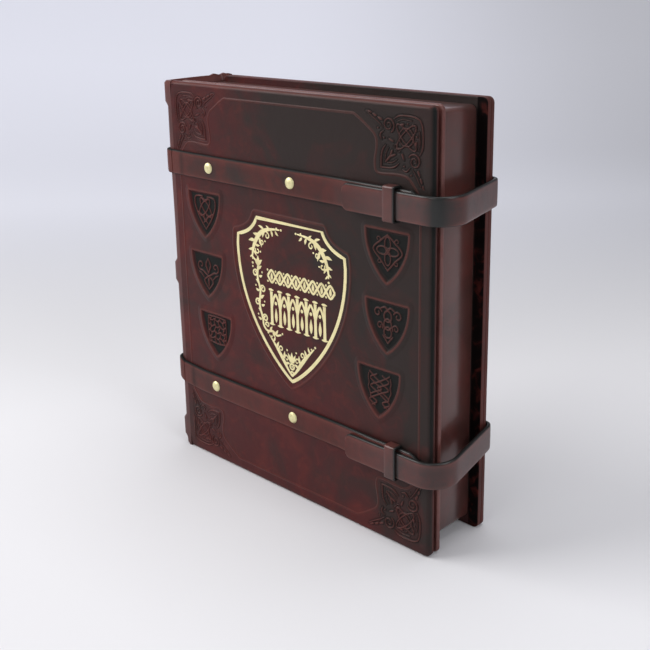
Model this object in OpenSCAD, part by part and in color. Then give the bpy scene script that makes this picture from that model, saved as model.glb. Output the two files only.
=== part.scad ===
// Large leather-bound family book with two strap closures, standing upright.
// X runs from the spine to the fore-edge, Y from the front cover to the back
// cover, Z up from the tail edges that it stands on.

/* [Book] */
// Height of the covers
book_h = 330; // [300:5:360]
// Width of the closed book, from the spine's shoulder to the fore-edge
book_w = 279; // [265:1:300]
// Thickness between the two covers' outer faces
book_t = 67; // [60:1:80]

/* [Front cover] */
// Thickness of the outer, embossed board
front_board_t = 6; // [5:0.2:8]
// Thickness of the inner board behind it
front_lining_t = 7.2; // [6:0.2:9]
// Thickness of the inner board's proud lip, seen behind the groove
front_lip_t = 4; // [3:0.2:5]
// Depth of the groove between the two boards
groove_depth = 2.6; // [1:0.1:4]
// Radius of the padded front edge
front_round = 2.8; // [1:0.1:4]

/* [Back cover] */
// Thickness of the outer board
back_board_t = 4.6; // [4:0.2:6]
// Thickness of the inner board
back_lining_t = 4.2; // [3:0.2:6]
// Radius of the back boards' turned edges
back_round = 1.8; // [1:0.1:2]
// Radius of all the boards' corners, seen from the front
board_corner = 4.5; // [4:0.1:8]

/* [Spine] */
// How far the spine's shoulders stand out past the boards
shoulder_out = 5.4; // [3:0.1:7]
// How much further its middle bulges
spine_bulge = 3; // [1:0.1:5]
// Thickness of the spine's leather and card
spine_t = 3.4; // [2.5:0.1:4]
// Radius of its shoulders
shoulder_round = 4.6; // [2.5:0.1:6]
// Width of the turned-in shoulder, up to the cover's fold
shoulder_w = 2; // [1.5:0.1:3]
// How far the raised bands stand out
band_out = 3.2; // [1:0.1:4]
// Height of a raised band
band_h = 23; // [18:1:30]
// Length of a band's soft slope
band_slope = 4; // [2:0.5:6]
// Height of the tail band's lower edge
band_tail_z = 6; // [2:1:10]
// Radius of the spine's rounded tail corner
tail_round = 12; // [3:0.5:14]

/* [Tray and pages] */
// Recess of the wall at the fore-edge
fore_recess = 8; // [5:0.5:12]
// Recess of the wall at the head
head_recess = 5.5; // [4:0.5:10]
// Recess of the wall at the tail
tail_recess = 7.5; // [4:0.5:10]
// Thickness of the leather-covered wall
wall_t = 3.6; // [2.5:0.1:5]
// Radius of the wall's outer corners
wall_round = 4.6; // [4:0.1:8]
// Clearance between pieces that lie against each other
seat_gap = 0.3; // [0.2:0.05:0.5]

/* [Straps] */
// Width of the straps
strap_w = 20.4; // [16:0.2:24]
// Thickness of the strap leather
strap_t = 2.6; // [2:0.1:3]
// Height of the upper strap's middle
upper_z = 262.8; // [250:0.2:270]
// Height of the lower strap's middle
lower_z = 71.2; // [60:0.2:80]
// How much higher the upper belt runs on the back cover
upper_rise = 0.6; // [0:0.2:6]
// How much higher the lower belt runs on the back cover
lower_rise = 5; // [0:0.2:6]
// How far the upper tongue hangs below its riveted strap
upper_drop = 1.2; // [0:0.2:3]
// How far the lower tongue hangs below its riveted strap
lower_drop = 2.2; // [0:0.2:3]
// Distance from the fore-edge back to the pointed end of the riveted strap
strap_end_in = 6; // [2:0.5:12]
// Length of its pointed end
strap_point = 9; // [6:0.5:14]
// Distance from the fore-edge back to the tongue's tip
tongue_in = 76; // [60:1:90]
// Length of the tongue's rounded tip
tongue_point = 5; // [3:0.5:8]
// How far the upper strap bows out at the fore-edge
upper_bow = 18.5; // [14:0.5:24]
// How far the lower strap bows out at the fore-edge
lower_bow = 14; // [12:0.5:24]
// Radius of the bow's front bend
bow_round = 17; // [12:0.5:22]
// Stand-off of the strap at the back cover's edge
bow_back = 2.4; // [1.8:0.1:4]

/* [Keepers] */
// Width of a keeper loop
keeper_w = 10; // [8:0.5:14]
// Thickness of its leather
keeper_t = 1.4; // [1:0.1:2]
// Room between the upper keeper and the straps' edges
upper_keeper_room = 0.6; // [0.3:0.1:3]
// Room between the lower keeper and the straps' edges
lower_keeper_room = 0.5; // [0.3:0.1:3]
// Distance from the fore-edge back to the upper keeper's middle
upper_keeper_in = 31.5; // [25:0.5:45]
// Distance from the fore-edge back to the lower keeper's middle
lower_keeper_in = 30.5; // [25:0.5:45]

/* [Rivets] */
// Diameter of the rivet's domed cap
rivet_d = 9.2; // [6:0.1:10]
// Height of the dome
rivet_rise = 2; // [1.2:0.1:2.5]
// Diameter of the rivet's shank
shank_d = 3; // [2:0.1:4]
// Thickness of the disc at the shank's inner end
disc_t = 1; // [0.6:0.1:1.5]
// Distance from the spine's shoulder to the upper strap's first rivet
upper_rivet_in = 50; // [35:0.5:60]
// Distance from the spine's shoulder to the lower strap's first rivet
lower_rivet_in = 46; // [35:0.5:60]
// Distance from the fore-edge to the upper strap's second rivet
upper_middle_in = 133.5; // [110:0.5:150]
// Distance from the fore-edge to the lower strap's second rivet
lower_middle_in = 137.5; // [110:0.5:150]

/* [Relief] */
// Width of a small shield's sunk field
field_w = 38; // [30:0.5:42]
// Height of the sunk field
field_h = 36.6; // [30:0.2:38]
// Height of the first small fields' top edges
shield_top = 240.5; // [236:0.5:244]
// Step from one small shield down to the next
shield_step = 52.3; // [48:0.1:54]
// Distance of the first two pairs of small shields from the middle
shield_x = 100; // [92:0.5:104]
// Distance of the last pair from the middle
last_shield_x = 92; // [86:0.5:96]
// Width of the raised crest round a small field
shield_rim = 2; // [1.5:0.1:3]
// Width of the low swelling round it
shield_swell = 5.5; // [4:0.1:6]
// Height of raised lines above the leather
relief_out = 0.7; // [0.3:0.1:1.2]
// Depth of a shield's sunk field
field_depth = 0.8; // [0.4:0.1:1.5]
// Width of a raised scroll line
scroll_w = 1.5; // [1:0.1:2]
// Distance of the tooled border from the cover's edges
border_in = 10; // [7:0.5:14]
// Width of the tooled border line
border_w = 1.4; // [0.8:0.1:2.5]

/* [Gold shield] */
// Half width of the gold shield
gold_half = 61.5; // [50:0.5:64]
// Height of its straight top edge
gold_top = 231.5; // [225:0.5:236]
// Height of its point
gold_tip = 98.7; // [94:0.5:110]
// Width of the gold outline
gold_w = 2.7; // [1.5:0.1:4]
// Width of the thin gold strokes
gold_stroke = 1.3; // [0.8:0.1:2]
// Thickness of the foil
foil_t = 0.2; // [0.1:0.05:0.4]
// Distance from the gold outline out to the raised line round it
gold_rim_gap = 2.4; // [1.5:0.1:4]

/* [Hidden] */
$fn = 48;

leather = "#4a2320";
dark_leather = "#331a19";
gold = "#e8d38a";
brass = "#d8bd78";
paper = "#e9dfc8";

half_w = book_w / 2;
half_t = book_t / 2;
fold_gap = 0.3;
fold_x = -half_w + shoulder_w;
board_x = fold_x + fold_gap / 2;
shoulder_r = min(shoulder_round, 0.85 * (shoulder_w + shoulder_out));
front_total = front_board_t + front_lining_t;
back_total = back_board_t + back_lining_t;
bite = 0.4;

// Places of the four rivets, two to a strap, and the room round each post
upper_rivets = [[-half_w + upper_rivet_in, upper_z], [half_w - upper_middle_in, upper_z]];
lower_rivets = [[-half_w + lower_rivet_in, lower_z], [half_w - lower_middle_in, lower_z]];
shank_gap = 0.1;
disc_gap = 0.2;

// Layers of the strap closure, measured out from the front cover's face
strap_lift = keeper_t + seat_gap;
tongue_lift = strap_lift + strap_t;
keeper_out = tongue_lift + seat_gap + strap_t + seat_gap + keeper_t;

// Smooth route through corner points [x, y, radius]
function turn_pts(a, b, c, r, n) =
    let (u = (a - b) / norm(a - b), v = (c - b) / norm(c - b),
         angle = acos(max(-1, min(1, u * v))),
         side = cross(b - a, c - b) > 0 ? 1 : -1,
         mid = b + (u + v) / norm(u + v) * r / sin(angle / 2),
         first = b + u * r / tan(angle / 2) - mid,
         a0 = atan2(first[1], first[0]))
    [for (i = [0:n]) mid + r * [cos(a0 + side * (180 - angle) * i / n),
                                sin(a0 + side * (180 - angle) * i / n)]];
function flat(p) = [p[0], p[1]];
function route(vs, n) =
    concat([flat(vs[0])],
           [for (k = [1:len(vs) - 2])
               each turn_pts(flat(vs[k - 1]), flat(vs[k]), flat(vs[k + 1]), vs[k][2], n)],
           [flat(vs[len(vs) - 1])]);
function unit(v) = v / norm(v);
function left_of(path, i) =
    let (last = len(path) - 1,
         into = unit(path[max(i, 1)] - path[max(i, 1) - 1]),
         away = unit(path[min(i, last - 1) + 1] - path[min(i, last - 1)]),
         d = unit(into + away))
    [-d[1], d[0]];
function shifted(path, d) = [for (i = [0:len(path) - 1]) path[i] + d * left_of(path, i)];
function back_to_front(list) = [for (i = [len(list) - 1:-1:0]) list[i]];
function ribbon(path, d0, d1) = concat(shifted(path, d0), back_to_front(shifted(path, d1)));

// The spine's outer face in plan, from the front fold round to the back board
function spine_route(out, n) =
    route([[fold_x - fold_gap / 2, -half_t, 0],
           [-half_w - shoulder_out - out, -half_t, shoulder_r],
           [-half_w - shoulder_out - spine_bulge - out, 0, 5 * half_t],
           [-half_w - shoulder_out - out, half_t, shoulder_r],
           [fold_x, half_t, 0]], n);

// A strap's inner face in plan: spine, back cover, bow at the fore-edge, tongue
function belt_route(bow, n) =
    concat([for (p = spine_route(0, n)) if (p[1] < half_t) p], bow_route(bow, n));
function bow_route(bow, n) =
    route([[-half_w + shoulder_w, half_t, 0],
           [half_w + bow_back, half_t, 2 * back_round + 1],
           [half_w + bow, -half_t - tongue_lift, bow_round],
           [half_w - tongue_in, -half_t - tongue_lift, 0]], n);

// Where the whole model's box lies, so that its origin is at the box's foot
belt_ends = concat(shifted(belt_route(upper_bow, 8), seat_gap + strap_t),
                   shifted(belt_route(lower_bow, 8), seat_gap + strap_t));
band_ends = spine_route(band_out, 8);
box_left = min(concat([for (p = belt_ends) p[0]], [for (p = band_ends) p[0]]));
box_right = max([for (p = belt_ends) p[0]]);
box_front = -half_t - keeper_out;
box_back = max([for (p = belt_ends) p[1]]);
origin = [(box_left + box_right) / 2, (box_front + box_back) / 2, 0];

module placed() translate(-origin) children();

// Lays a flat drawing on the XZ plane and thickens it towards the front
module facing_front(y, t) translate([0, y, 0]) rotate([90, 0, 0]) linear_extrude(t) children();

module round_rect(w, h, r) {
    translate([r, 0]) square([w - 2 * r, h]);
    translate([0, r]) square([w, h - 2 * r]);
    for (x = [r, w - r], y = [r, h - r]) translate([x, y]) circle(r);
}

// Edge of a board in section: x out to the edge, y from inner to outer face
module edge_section(t, corner, r_out, r_in) {
    difference() {
        square([corner, t]);
        translate([corner - r_out, t - r_out]) difference() {
            square(r_out + 1);
            circle(r_out);
        }
        translate([corner - r_in, r_in]) mirror([0, 1]) difference() {
            square(r_in + 1);
            circle(r_in);
        }
    }
}

// Board with rounded corners and soft edges, its outer face towards the front
module board(x0, z0, w, h, y_out, t, corner, r_out, r_in) {
    translate([x0, y_out + t, z0]) rotate([90, 0, 0]) {
        translate([corner, corner, 0]) cube([w - 2 * corner, h - 2 * corner, t]);
        for (k = [0, 1]) {
            translate([k ? w - corner : corner, k ? h - corner : corner, 0])
                rotate([0, 0, k ? 0 : 180]) {
                    translate([0, k ? 2 * corner - h : 0, 0])
                        translate([0, k ? 0 : 2 * corner - h, 0])
                            rotate([90, 0, 0]) mirror([0, 0, 1])
                                linear_extrude(h - 2 * corner) edge_section(t, corner, r_out, r_in);
                }
            translate([k ? corner : w - corner, k ? h - corner : corner, 0])
                rotate([0, 0, k ? 90 : -90])
                    translate([0, 2 * corner - w, 0])
                        rotate([90, 0, 0]) mirror([0, 0, 1])
                            linear_extrude(w - 2 * corner) edge_section(t, corner, r_out, r_in);
        }
        for (q = [[w - corner, h - corner, 0], [corner, h - corner, 90],
                  [corner, corner, 180], [w - corner, corner, 270]])
            translate([q[0], q[1], 0]) rotate([0, 0, q[2]])
                rotate_extrude(angle = 90) edge_section(t, corner, r_out, r_in);
    }
}

// Height of a shield's charge above the leather, a little below its rim
charge_out = relief_out - 0.2;

// Height of the low swelling round a small shield
swell_out = 0.3;

// Shield with a straight top and curved sides, hanging down from the origin
function side_x(half, s) = half * pow(1 - pow(s, 2.1), 0.87);
function shield_pts(w, h, n) =
    concat([for (i = [0:n]) [side_x(w / 2, sin(90 * i / n)), -h * sin(90 * i / n)]],
           [for (i = [n - 1:-1:0]) [-side_x(w / 2, sin(90 * i / n)), -h * sin(90 * i / n)]]);
module small_shield(grow) {
    translate([0, 0.75 * grow]) polygon(shield_pts(field_w + 2 * grow, field_h + 2.2 * grow, 9));
}
module shield_ring(width) {
    difference() {
        small_shield(width);
        small_shield(0);
    }
}

// Strokes of the scrollwork: spirals [x, z, r0, r1, angle0, angle1], bars and dots
function spiral_pt(s, k, d) =
    let (a = s[4] + (s[5] - s[4]) * k, r = s[2] + (s[3] - s[2]) * k + d)
    [s[0] + r * cos(a), s[1] + r * sin(a)];
module spirals(list, w) {
    for (s = list) {
        n = max(6, ceil(abs(s[5] - s[4]) / 24));
        polygon(concat([for (i = [0:n]) spiral_pt(s, i / n, w / 2)],
                       [for (i = [n:-1:0]) spiral_pt(s, i / n, -w / 2)]));
    }
}
module bars(list, w) {
    for (b = list) {
        d = [b[2] - b[0], b[3] - b[1]];
        translate([b[0], b[1]]) rotate(atan2(d[1], d[0])) translate([0, -w / 2]) square([norm(d), w]);
    }
}
module dots(list) {
    for (d = list) translate([d[0], d[1]]) circle(d[2], $fn = 24);
}
module rings(list, w) {
    for (r = list) translate([r[0], r[1]]) difference() {
        circle(r[2] + w / 2, $fn = 32);
        circle(r[2] - w / 2, $fn = 32);
    }
}

// The six shield charges, each a plain knot or scroll on a sunk field
module charge(kind, w) {
    translate([0, -field_h * 0.42]) {
        if (kind == 0) {
            spirals([[-5.4, 6, 4.6, 1.8, 90, -300], [5.4, 6, 4.6, 1.8, 90, 480]], w);
            bars([[-11.5, 8, -6, -6], [11.5, 8, 6, -6], [-6, -6, 0, -14], [6, -6, 0, -14],
                  [-7, 0, 4.5, -8], [7, 0, -4.5, -8]], w);
            dots([[0, 10.5, 1.3], [0, 1.5, 1.2]]);
        }
        if (kind == 1) {
            spirals([[-8, 3.4, 5, 1.6, -60, -420], [8, 3.4, 5, 1.6, 240, 600]], w);
            bars([[0, 11.5, -2.4, 5], [0, 11.5, 2.4, 5], [-2.4, 5, 0, -3], [2.4, 5, 0, -3],
                  [0, -4, -4.5, -9], [0, -4, 4.5, -9], [-4.5, -9, 0, -15], [4.5, -9, 0, -15]], w);
            dots([[0, -9, 1.4]]);
        }
        if (kind == 2) {
            for (k = [-8.4, -2.8, 2.8, 8.4]) bars([[k, -9.2, k, 9.2], [-9.2, k, 9.2, k]], w);
            rings([[0, 0, 5]], w);
        }
        if (kind == 3) {
            rings([[-8.5, 0, 3.8], [8.5, 0, 3.8], [0, 7, 3.8], [0, -7, 3.8]], w);
            bars([[-13, 0, 0, 11.5], [13, 0, 0, 11.5], [-13, 0, 0, -13.5], [13, 0, 0, -13.5]], w);
            dots([[0, 0, 2]]);
        }
        if (kind == 4) {
            rings([[0, 5, 4], [0, -1, 4], [0, -7, 4]], w);
            spirals([[-9.4, 8, 3.8, 1.4, 0, 300], [9.4, 8, 3.8, 1.4, 180, -120],
                     [-7.6, -3.4, 3.2, 1.3, 30, -300], [7.6, -3.4, 3.2, 1.3, 150, 480]], w);
            dots([[0, -13, 1.3]]);
        }
        if (kind == 5) {
            for (k = [-7.6, 0, 7.6]) rings([[-4, k, 4.6], [4, k, 4.6]], w);
            dots([[0, -13, 1.4]]);
        }
    }
}
shields = [[-shield_x, 0, 0], [-shield_x, 1, 1], [-last_shield_x, 2, 2],
           [shield_x, 0, 3], [shield_x, 1, 4], [last_shield_x, 2, 5]];
module at_shield(s) translate([s[0], shield_top - s[1] * shield_step]) children();

// Corner ornament, drawn as if the cover's corner were at the origin
module corner_half(w) {
    spirals([[36.4, 16.4, 6.6, 1.8, 150, -400], [23.6, 23.6, 14.8, 14.8, 182, 226],
             [23.6, 23.6, 11, 11, 178, 226], [20.4, 17.4, 2.8, 1.2, 90, 400]], w);
    rings([[43.4, 25.4, 2.2], [55.6, 8.8, 1.6]], w);
    bars([[42, 11.4, 55, 7.4], [43, 19.6, 54.8, 10.6], [39, 29, 43.6, 36], [43.6, 36, 44.6, 44.6],
          [36, 32, 39.6, 39.6], [28, 26, 36, 27.5]], w);
    dots([[46.4, 15, 1.2], [50.4, 12, 1]]);
}
module corner_scroll(w) {
    corner_half(w);
    mirror([1, -1]) corner_half(w);
    rings([[25, 25, 4.6]], w);
    dots([[25, 25, 1.8]]);
}
module at_corners() {
    for (sx = [-1, 1], sz = [-1, 1])
        translate([sx > 0 ? half_w : -half_w, sz > 0 ? book_h : 0])
            mirror([sx > 0 ? 1 : 0, 0]) mirror([0, sz > 0 ? 1 : 0]) children();
}

// Tooled border: straight between the corners, stepping in round each ornament
border_step = [[70, 0], [64, 3.4], [57, 8], [51.5, 12], [49, 17], [49.5, 24], [50.5, 30], [50.5, 36],
               [48.5, 38.6], [44, 39.4], [32, 38.6], [22, 39.4], [16.4, 44], [11.4, 51], [10, 60]];
function border_corner() = [for (p = border_step) [p[0], border_in + p[1]]];
module border_quarter(w) {
    steps = border_corner();
    polygon(ribbon(steps, -w / 2, w / 2));
    u = steps[0][0];
    v = steps[len(steps) - 1][1];
    translate([u - 0.1, border_in - w / 2]) square([half_w - u + 0.1, w]);
    translate([border_in - w / 2, v - 0.1]) square([w, book_h / 2 - v + 0.1]);
}
module strap_zones() {
    for (z = [upper_z, lower_z])
        translate([-book_w, z - strap_w / 2 - 1]) square([2 * book_w, strap_w + 2]);
}

// Gold shield outline: straight top, hollow shoulders, curved sides to a point
gold_shoulder = [0.61, 18];
gold_wide = 26.5;
function gold_pts(out, n) =
    let (half = gold_half + out, top = gold_top + out, tip = gold_tip - 1.4 * out,
         a = [gold_shoulder[0] * gold_half + 0.6 * out, top],
         b = [half - 1, gold_top - gold_shoulder[1] + 0.6 * out],
         wide = gold_top - gold_wide,
         bend = [a[0] + 3, b[1] + 5],
         hollow = [for (i = [1:n - 1]) let (k = i / n)
             a * (1 - k) * (1 - k) + 2 * k * (1 - k) * bend + b * k * k],
         side = [for (i = [0:n]) let (s = sin(90 * i / n)) [side_x(half, s), wide - (wide - tip) * s]],
         right = concat([a], hollow, [b], side))
    concat(right, [for (i = [len(right) - 2:-1:0]) [-right[i][0], right[i][1]]]);
module gold_line(out, w, n) {
    difference() {
        polygon(gold_pts(out, n));
        polygon(gold_pts(out - w, n));
    }
}

// Sprays, a climbing vine and two ornament rows, as plain repeated strokes
module spray(w) {
    spirals([[6, 6, 5, 1.6, 180, -160], [15, 3.5, 3.4, 1.2, 170, -140], [3.5, 15, 3.4, 1.2, -80, 230]], w);
    bars([[2, 2, 11, 11], [18, 2, 27, 0], [2, 18, 0, 27]], w);
    dots([[12, 12, 1.6], [22, 1.6, 1.4], [1.6, 22, 1.4], [27, 0, 1.2], [0, 27, 1.2]]);
}
vine_steps = 5;
vine_step = 15.5;
module vine(w) {
    for (k = [0:vine_steps - 1]) {
        side = k % 2 ? 1 : -1;
        translate([0, -vine_step * k]) {
            spirals([[side * 3.6, -7, 5.6, 1.8, 90 - side * 90, 90 - side * 440]], w);
            dots([[side * -3.6, -12, 1.5], [side * -4.4, -4, 1.2]]);
        }
    }
    bars([[0, 2, 0, -vine_step * vine_steps + 2]], w);
    dots([[0, 4, 1.9], [0, -vine_step * vine_steps, 1.9]]);
}
module rosette_row(count, step, r, w) {
    for (k = [0:count - 1]) translate([k * step, 0]) {
        rings([[0, 0, r]], w);
        dots([[0, 0, r * 0.4]]);
    }
    end = (count - 1) * step + r + 2;
    for (z = [r + 2, -r - 2]) bars([[-r - 2, z, end, z]], w * 0.8);
}
module palm_row(count, step, h, w) {
    for (k = [0:count - 1]) translate([k * step, 0]) {
        bars([[0, -h / 2, 0, h / 2 - 2], [0, -h / 2 + 2, -3.6, 1], [0, -h / 2 + 2, 3.6, 1],
              [-3.6, 1, 0, h / 2], [3.6, 1, 0, h / 2]], w);
        dots([[0, h / 2, 1.3], [0, -h / 2, 1.5]]);
    }
}
module gold_drawing() {
    gold_line(0, gold_w, 14);
    translate([39, gold_top - 10]) mirror([1, 0]) mirror([0, 1]) spray(gold_stroke);
    translate([0, gold_tip + 7]) rotate(45) spray(gold_stroke);
    translate([-35, gold_top - 18]) vine(gold_stroke);
    translate([-19, gold_top - 49]) rosette_row(7, 10.6, 3.8, gold_stroke);
    translate([-18, gold_top - 74]) palm_row(6, 11, 24, gold_stroke);
}

module front_cover() color(leather) placed() {
    difference() {
        union() {
            board(board_x, 0, half_w - board_x, book_h,
                  -half_t, front_board_t, board_corner, front_round, 1);
            facing_front(-half_t + bite, bite + relief_out) difference() {
                union() {
                    at_corners() border_quarter(border_w);
                    at_corners() corner_scroll(scroll_w);
                    gold_line(gold_rim_gap + border_w, border_w, 10);
                }
                strap_zones();
            }
            for (s = shields) {
                facing_front(-half_t + bite, bite + swell_out) at_shield(s) shield_ring(shield_swell);
                facing_front(-half_t + bite, bite + relief_out) at_shield(s) shield_ring(shield_rim);
            }
        }
        for (s = shields)
            facing_front(-half_t + field_depth, field_depth + bite) at_shield(s) small_shield(0);
        for (p = concat(upper_rivets, lower_rivets))
            translate([p[0], -half_t + front_board_t + 1, p[1]]) rotate([90, 0, 0]) {
            cylinder(d = shank_d + 2 * shank_gap, h = front_board_t + 2);
            cylinder(d = rivet_d + 2 * disc_gap, h = 1 + disc_t + shank_gap);
        }
    }
    for (s = shields)
        facing_front(-half_t + field_depth + bite, bite + field_depth + charge_out)
            at_shield(s) charge(s[2], scroll_w);
}

// Inner board: a proud lip with softly turned edges behind a narrower core
lip_round = 1.4;
lip_inner_round = 0.8;
core_round = 0.3;
module front_lining() color(dark_leather) placed() {
    core_t = front_lining_t - front_lip_t;
    board(board_x + groove_depth, groove_depth,
          half_w - board_x - 2 * groove_depth, book_h - 2 * groove_depth,
          -half_t + front_board_t, core_t + 1, board_corner - 1, core_round, core_round);
    board(board_x, 0, half_w - board_x, book_h,
          -half_t + front_board_t + core_t, front_lip_t, board_corner, lip_round, lip_inner_round);
}

module gold_foil() color(gold) placed() facing_front(-half_t, foil_t) gold_drawing();

// Share of a belt's rise that is reached at the cover's fold, and the length it takes there
fold_share = 0.36;
fold_run = 26;

// Riveted strap on the front cover, lifted at its free end to clear the keeper
module front_strap(z, rise) {
    end_x = half_w - strap_end_in;
    steps = route([[fold_x + fold_gap / 2, -half_t, 0],
                   [half_w - tongue_in - 12, -half_t, 60],
                   [half_w - tongue_in + 22, -half_t - strap_lift, 60],
                   [end_x, -half_t - strap_lift, 0]], 6);
    intersection() {
        translate([0, 0, z - strap_w]) linear_extrude(2 * strap_w) polygon(ribbon(steps, 0, -strap_t));
        facing_front(0, book_t) translate([0, z]) polygon([
            [fold_x, -strap_w / 2 + rise * fold_share], [fold_x + fold_run, -strap_w / 2],
            [end_x - strap_point, -strap_w / 2], [end_x - strap_point * 0.25, -strap_w * 0.32],
            [end_x, -strap_w * 0.12], [end_x, strap_w * 0.12],
            [end_x - strap_point * 0.25, strap_w * 0.32], [end_x - strap_point, strap_w / 2],
            [fold_x + fold_run, strap_w / 2], [fold_x, strap_w / 2 + rise * fold_share]]);
    }
}
module pierced_strap(z, rise, places) {
    difference() {
        front_strap(z, rise);
        for (p = places) translate([p[0], 0, p[1]]) rotate([90, 0, 0])
            cylinder(d = shank_d + 2 * shank_gap, h = book_t);
    }
}
module upper_front_strap() color(leather) placed() pierced_strap(upper_z, upper_rise, upper_rivets);
module lower_front_strap() color(leather) placed() pierced_strap(lower_z, lower_rise, lower_rivets);

module keeper(x, z, drop, room) {
    h = strap_w + drop + 2 * (keeper_t + room);
    translate([x - keeper_w / 2, 0, z - drop / 2]) rotate([90, 0, 90]) linear_extrude(keeper_w)
        translate([-half_t - keeper_out, -h / 2]) difference() {
            round_rect(keeper_out, h, 1.8);
            translate([keeper_t, keeper_t]) round_rect(keeper_out - 2 * keeper_t, h - 2 * keeper_t, 0.6);
        }
}
module upper_keeper() color(leather) placed()
    keeper(half_w - upper_keeper_in, upper_z, upper_drop, upper_keeper_room);
module lower_keeper() color(leather) placed()
    keeper(half_w - lower_keeper_in, lower_z, lower_drop, lower_keeper_room);

// Domed cap, hollowed for the shank's end; local Z points out of the cover
socket_depth = 1.1;
module rivet_cap(p) {
    dome_r = (rivet_d * rivet_d / 4 + rivet_rise * rivet_rise) / (2 * rivet_rise);
    translate([p[0], -half_t - strap_t, p[1]]) rotate([90, 0, 0]) difference() {
        intersection() {
            translate([0, 0, rivet_rise - dome_r]) sphere(dome_r);
            cylinder(d = rivet_d + 1, h = rivet_rise + 1);
        }
        translate([0, 0, -1]) cylinder(d = shank_d + shank_gap, h = 1 + socket_depth);
    }
}
module rivet_post(p) {
    translate([p[0], -half_t + front_board_t, p[1]]) rotate([90, 0, 0]) {
        cylinder(d = rivet_d, h = disc_t);
        cylinder(d = shank_d, h = front_board_t + strap_t + socket_depth - shank_gap);
    }
}
module upper_spine_rivet_cap() color(brass) placed() rivet_cap(upper_rivets[0]);
module upper_spine_rivet_post() color(brass) placed() rivet_post(upper_rivets[0]);
module upper_middle_rivet_cap() color(brass) placed() rivet_cap(upper_rivets[1]);
module upper_middle_rivet_post() color(brass) placed() rivet_post(upper_rivets[1]);
module lower_spine_rivet_cap() color(brass) placed() rivet_cap(lower_rivets[0]);
module lower_spine_rivet_post() color(brass) placed() rivet_post(lower_rivets[0]);
module lower_middle_rivet_cap() color(brass) placed() rivet_cap(lower_rivets[1]);
module lower_middle_rivet_post() color(brass) placed() rivet_post(lower_rivets[1]);

// Two creases run down the spine beside the back cover's inner face
crease_r = 1.6;
crease_at = [-9.5, 1.2];

// Raised band across the spine, sloping softly at its upper and lower edge
module band(z) {
    hull() {
        translate([0, 0, z]) linear_extrude(band_h) polygon(spine_route(0, 6));
        translate([0, 0, z + band_slope])
            linear_extrude(band_h - 2 * band_slope) polygon(spine_route(band_out, 6));
    }
}
// What the rounded tail corner takes off the spine, seen from the front
module tail_cut() {
    left = -half_w - shoulder_out - spine_bulge - band_out;
    facing_front(book_t, 2 * book_t) difference() {
        translate([left - 1, -1]) square(tail_round + 1);
        translate([left + tail_round, tail_round]) circle(tail_round);
    }
}
module spine() color(leather) placed() {
    difference() {
        union() {
            linear_extrude(book_h) polygon(spine_route(0, 6));
            band(band_tail_z);
            band((book_h - band_h) / 2);
            intersection() {
                band(book_h - band_h + band_slope / 2);
                translate([-book_w, -book_t, 0]) cube([2 * book_w, 2 * book_t, book_h]);
            }
        }
        translate([0, 0, -1]) linear_extrude(book_h + 2)
            polygon(concat([[half_w, -half_t + spine_t]], shifted(spine_route(0, 6), -spine_t),
                           [[half_w, half_t - spine_t]]));
        for (d = crease_at)
            translate([-half_w - shoulder_out - crease_r, half_t - back_total + d, -1])
                cylinder(r = crease_r, h = book_h + 2);
        tail_cut();
    }
}

module back_cover() color(leather) placed() mirror([0, 1, 0])
    board(fold_x, 0, half_w - fold_x, book_h, -half_t, back_board_t, board_corner, back_round, 1);

module back_lining() color(dark_leather) placed() mirror([0, 1, 0])
    board(fold_x, 0, half_w - fold_x, book_h, -half_t + back_board_t, back_lining_t, board_corner, 1, 1);

tray_y0 = -half_t + front_total + seat_gap;
tray_y1 = half_t - back_total;
module edge_wall() color(leather) placed() {
    w = half_w - fore_recess - fold_x;
    h = book_h - head_recess - tail_recess;
    facing_front(tray_y1, tray_y1 - tray_y0) translate([fold_x, tail_recess]) difference() {
        intersection() {
            translate([-2 * wall_round, 0]) round_rect(w + 2 * wall_round, h, wall_round);
            translate([0, -1]) square([w + 1, h + 2]);
        }
        translate([-1, wall_t]) square([w - wall_t + 1, h - 2 * wall_t]);
    }
}

module page_block() color(paper) placed() {
    x1 = half_w - fore_recess - wall_t - seat_gap;
    z0 = tail_recess + wall_t + seat_gap;
    z1 = book_h - head_recess - wall_t - seat_gap;
    y0 = tray_y0 + 2 * seat_gap;
    back = 2.4;
    rounding = [for (i = [0:10]) let (y = tray_y1 + (y0 - tray_y1) * i / 10, k = 2 * i / 10 - 1)
        [fold_x + back - back * (1 - k * k), y]];
    translate([0, 0, z0]) linear_extrude(z1 - z0) polygon(concat([[x1, y0], [x1, tray_y1]], rounding));
}

// How high a belt's middle lies above its strap's at a point of its route
function belt_up(p, drop, rise) =
    p[0] < 0 && p[1] < 0 ? rise * min(1, fold_share + (fold_x - p[0]) / shoulder_out * (1 - fold_share))
        : p[0] < half_w && p[1] > 0 ? rise
        : rise - (rise + drop) * max(0, half_t - p[1]) / (book_t + tongue_lift);

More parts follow.
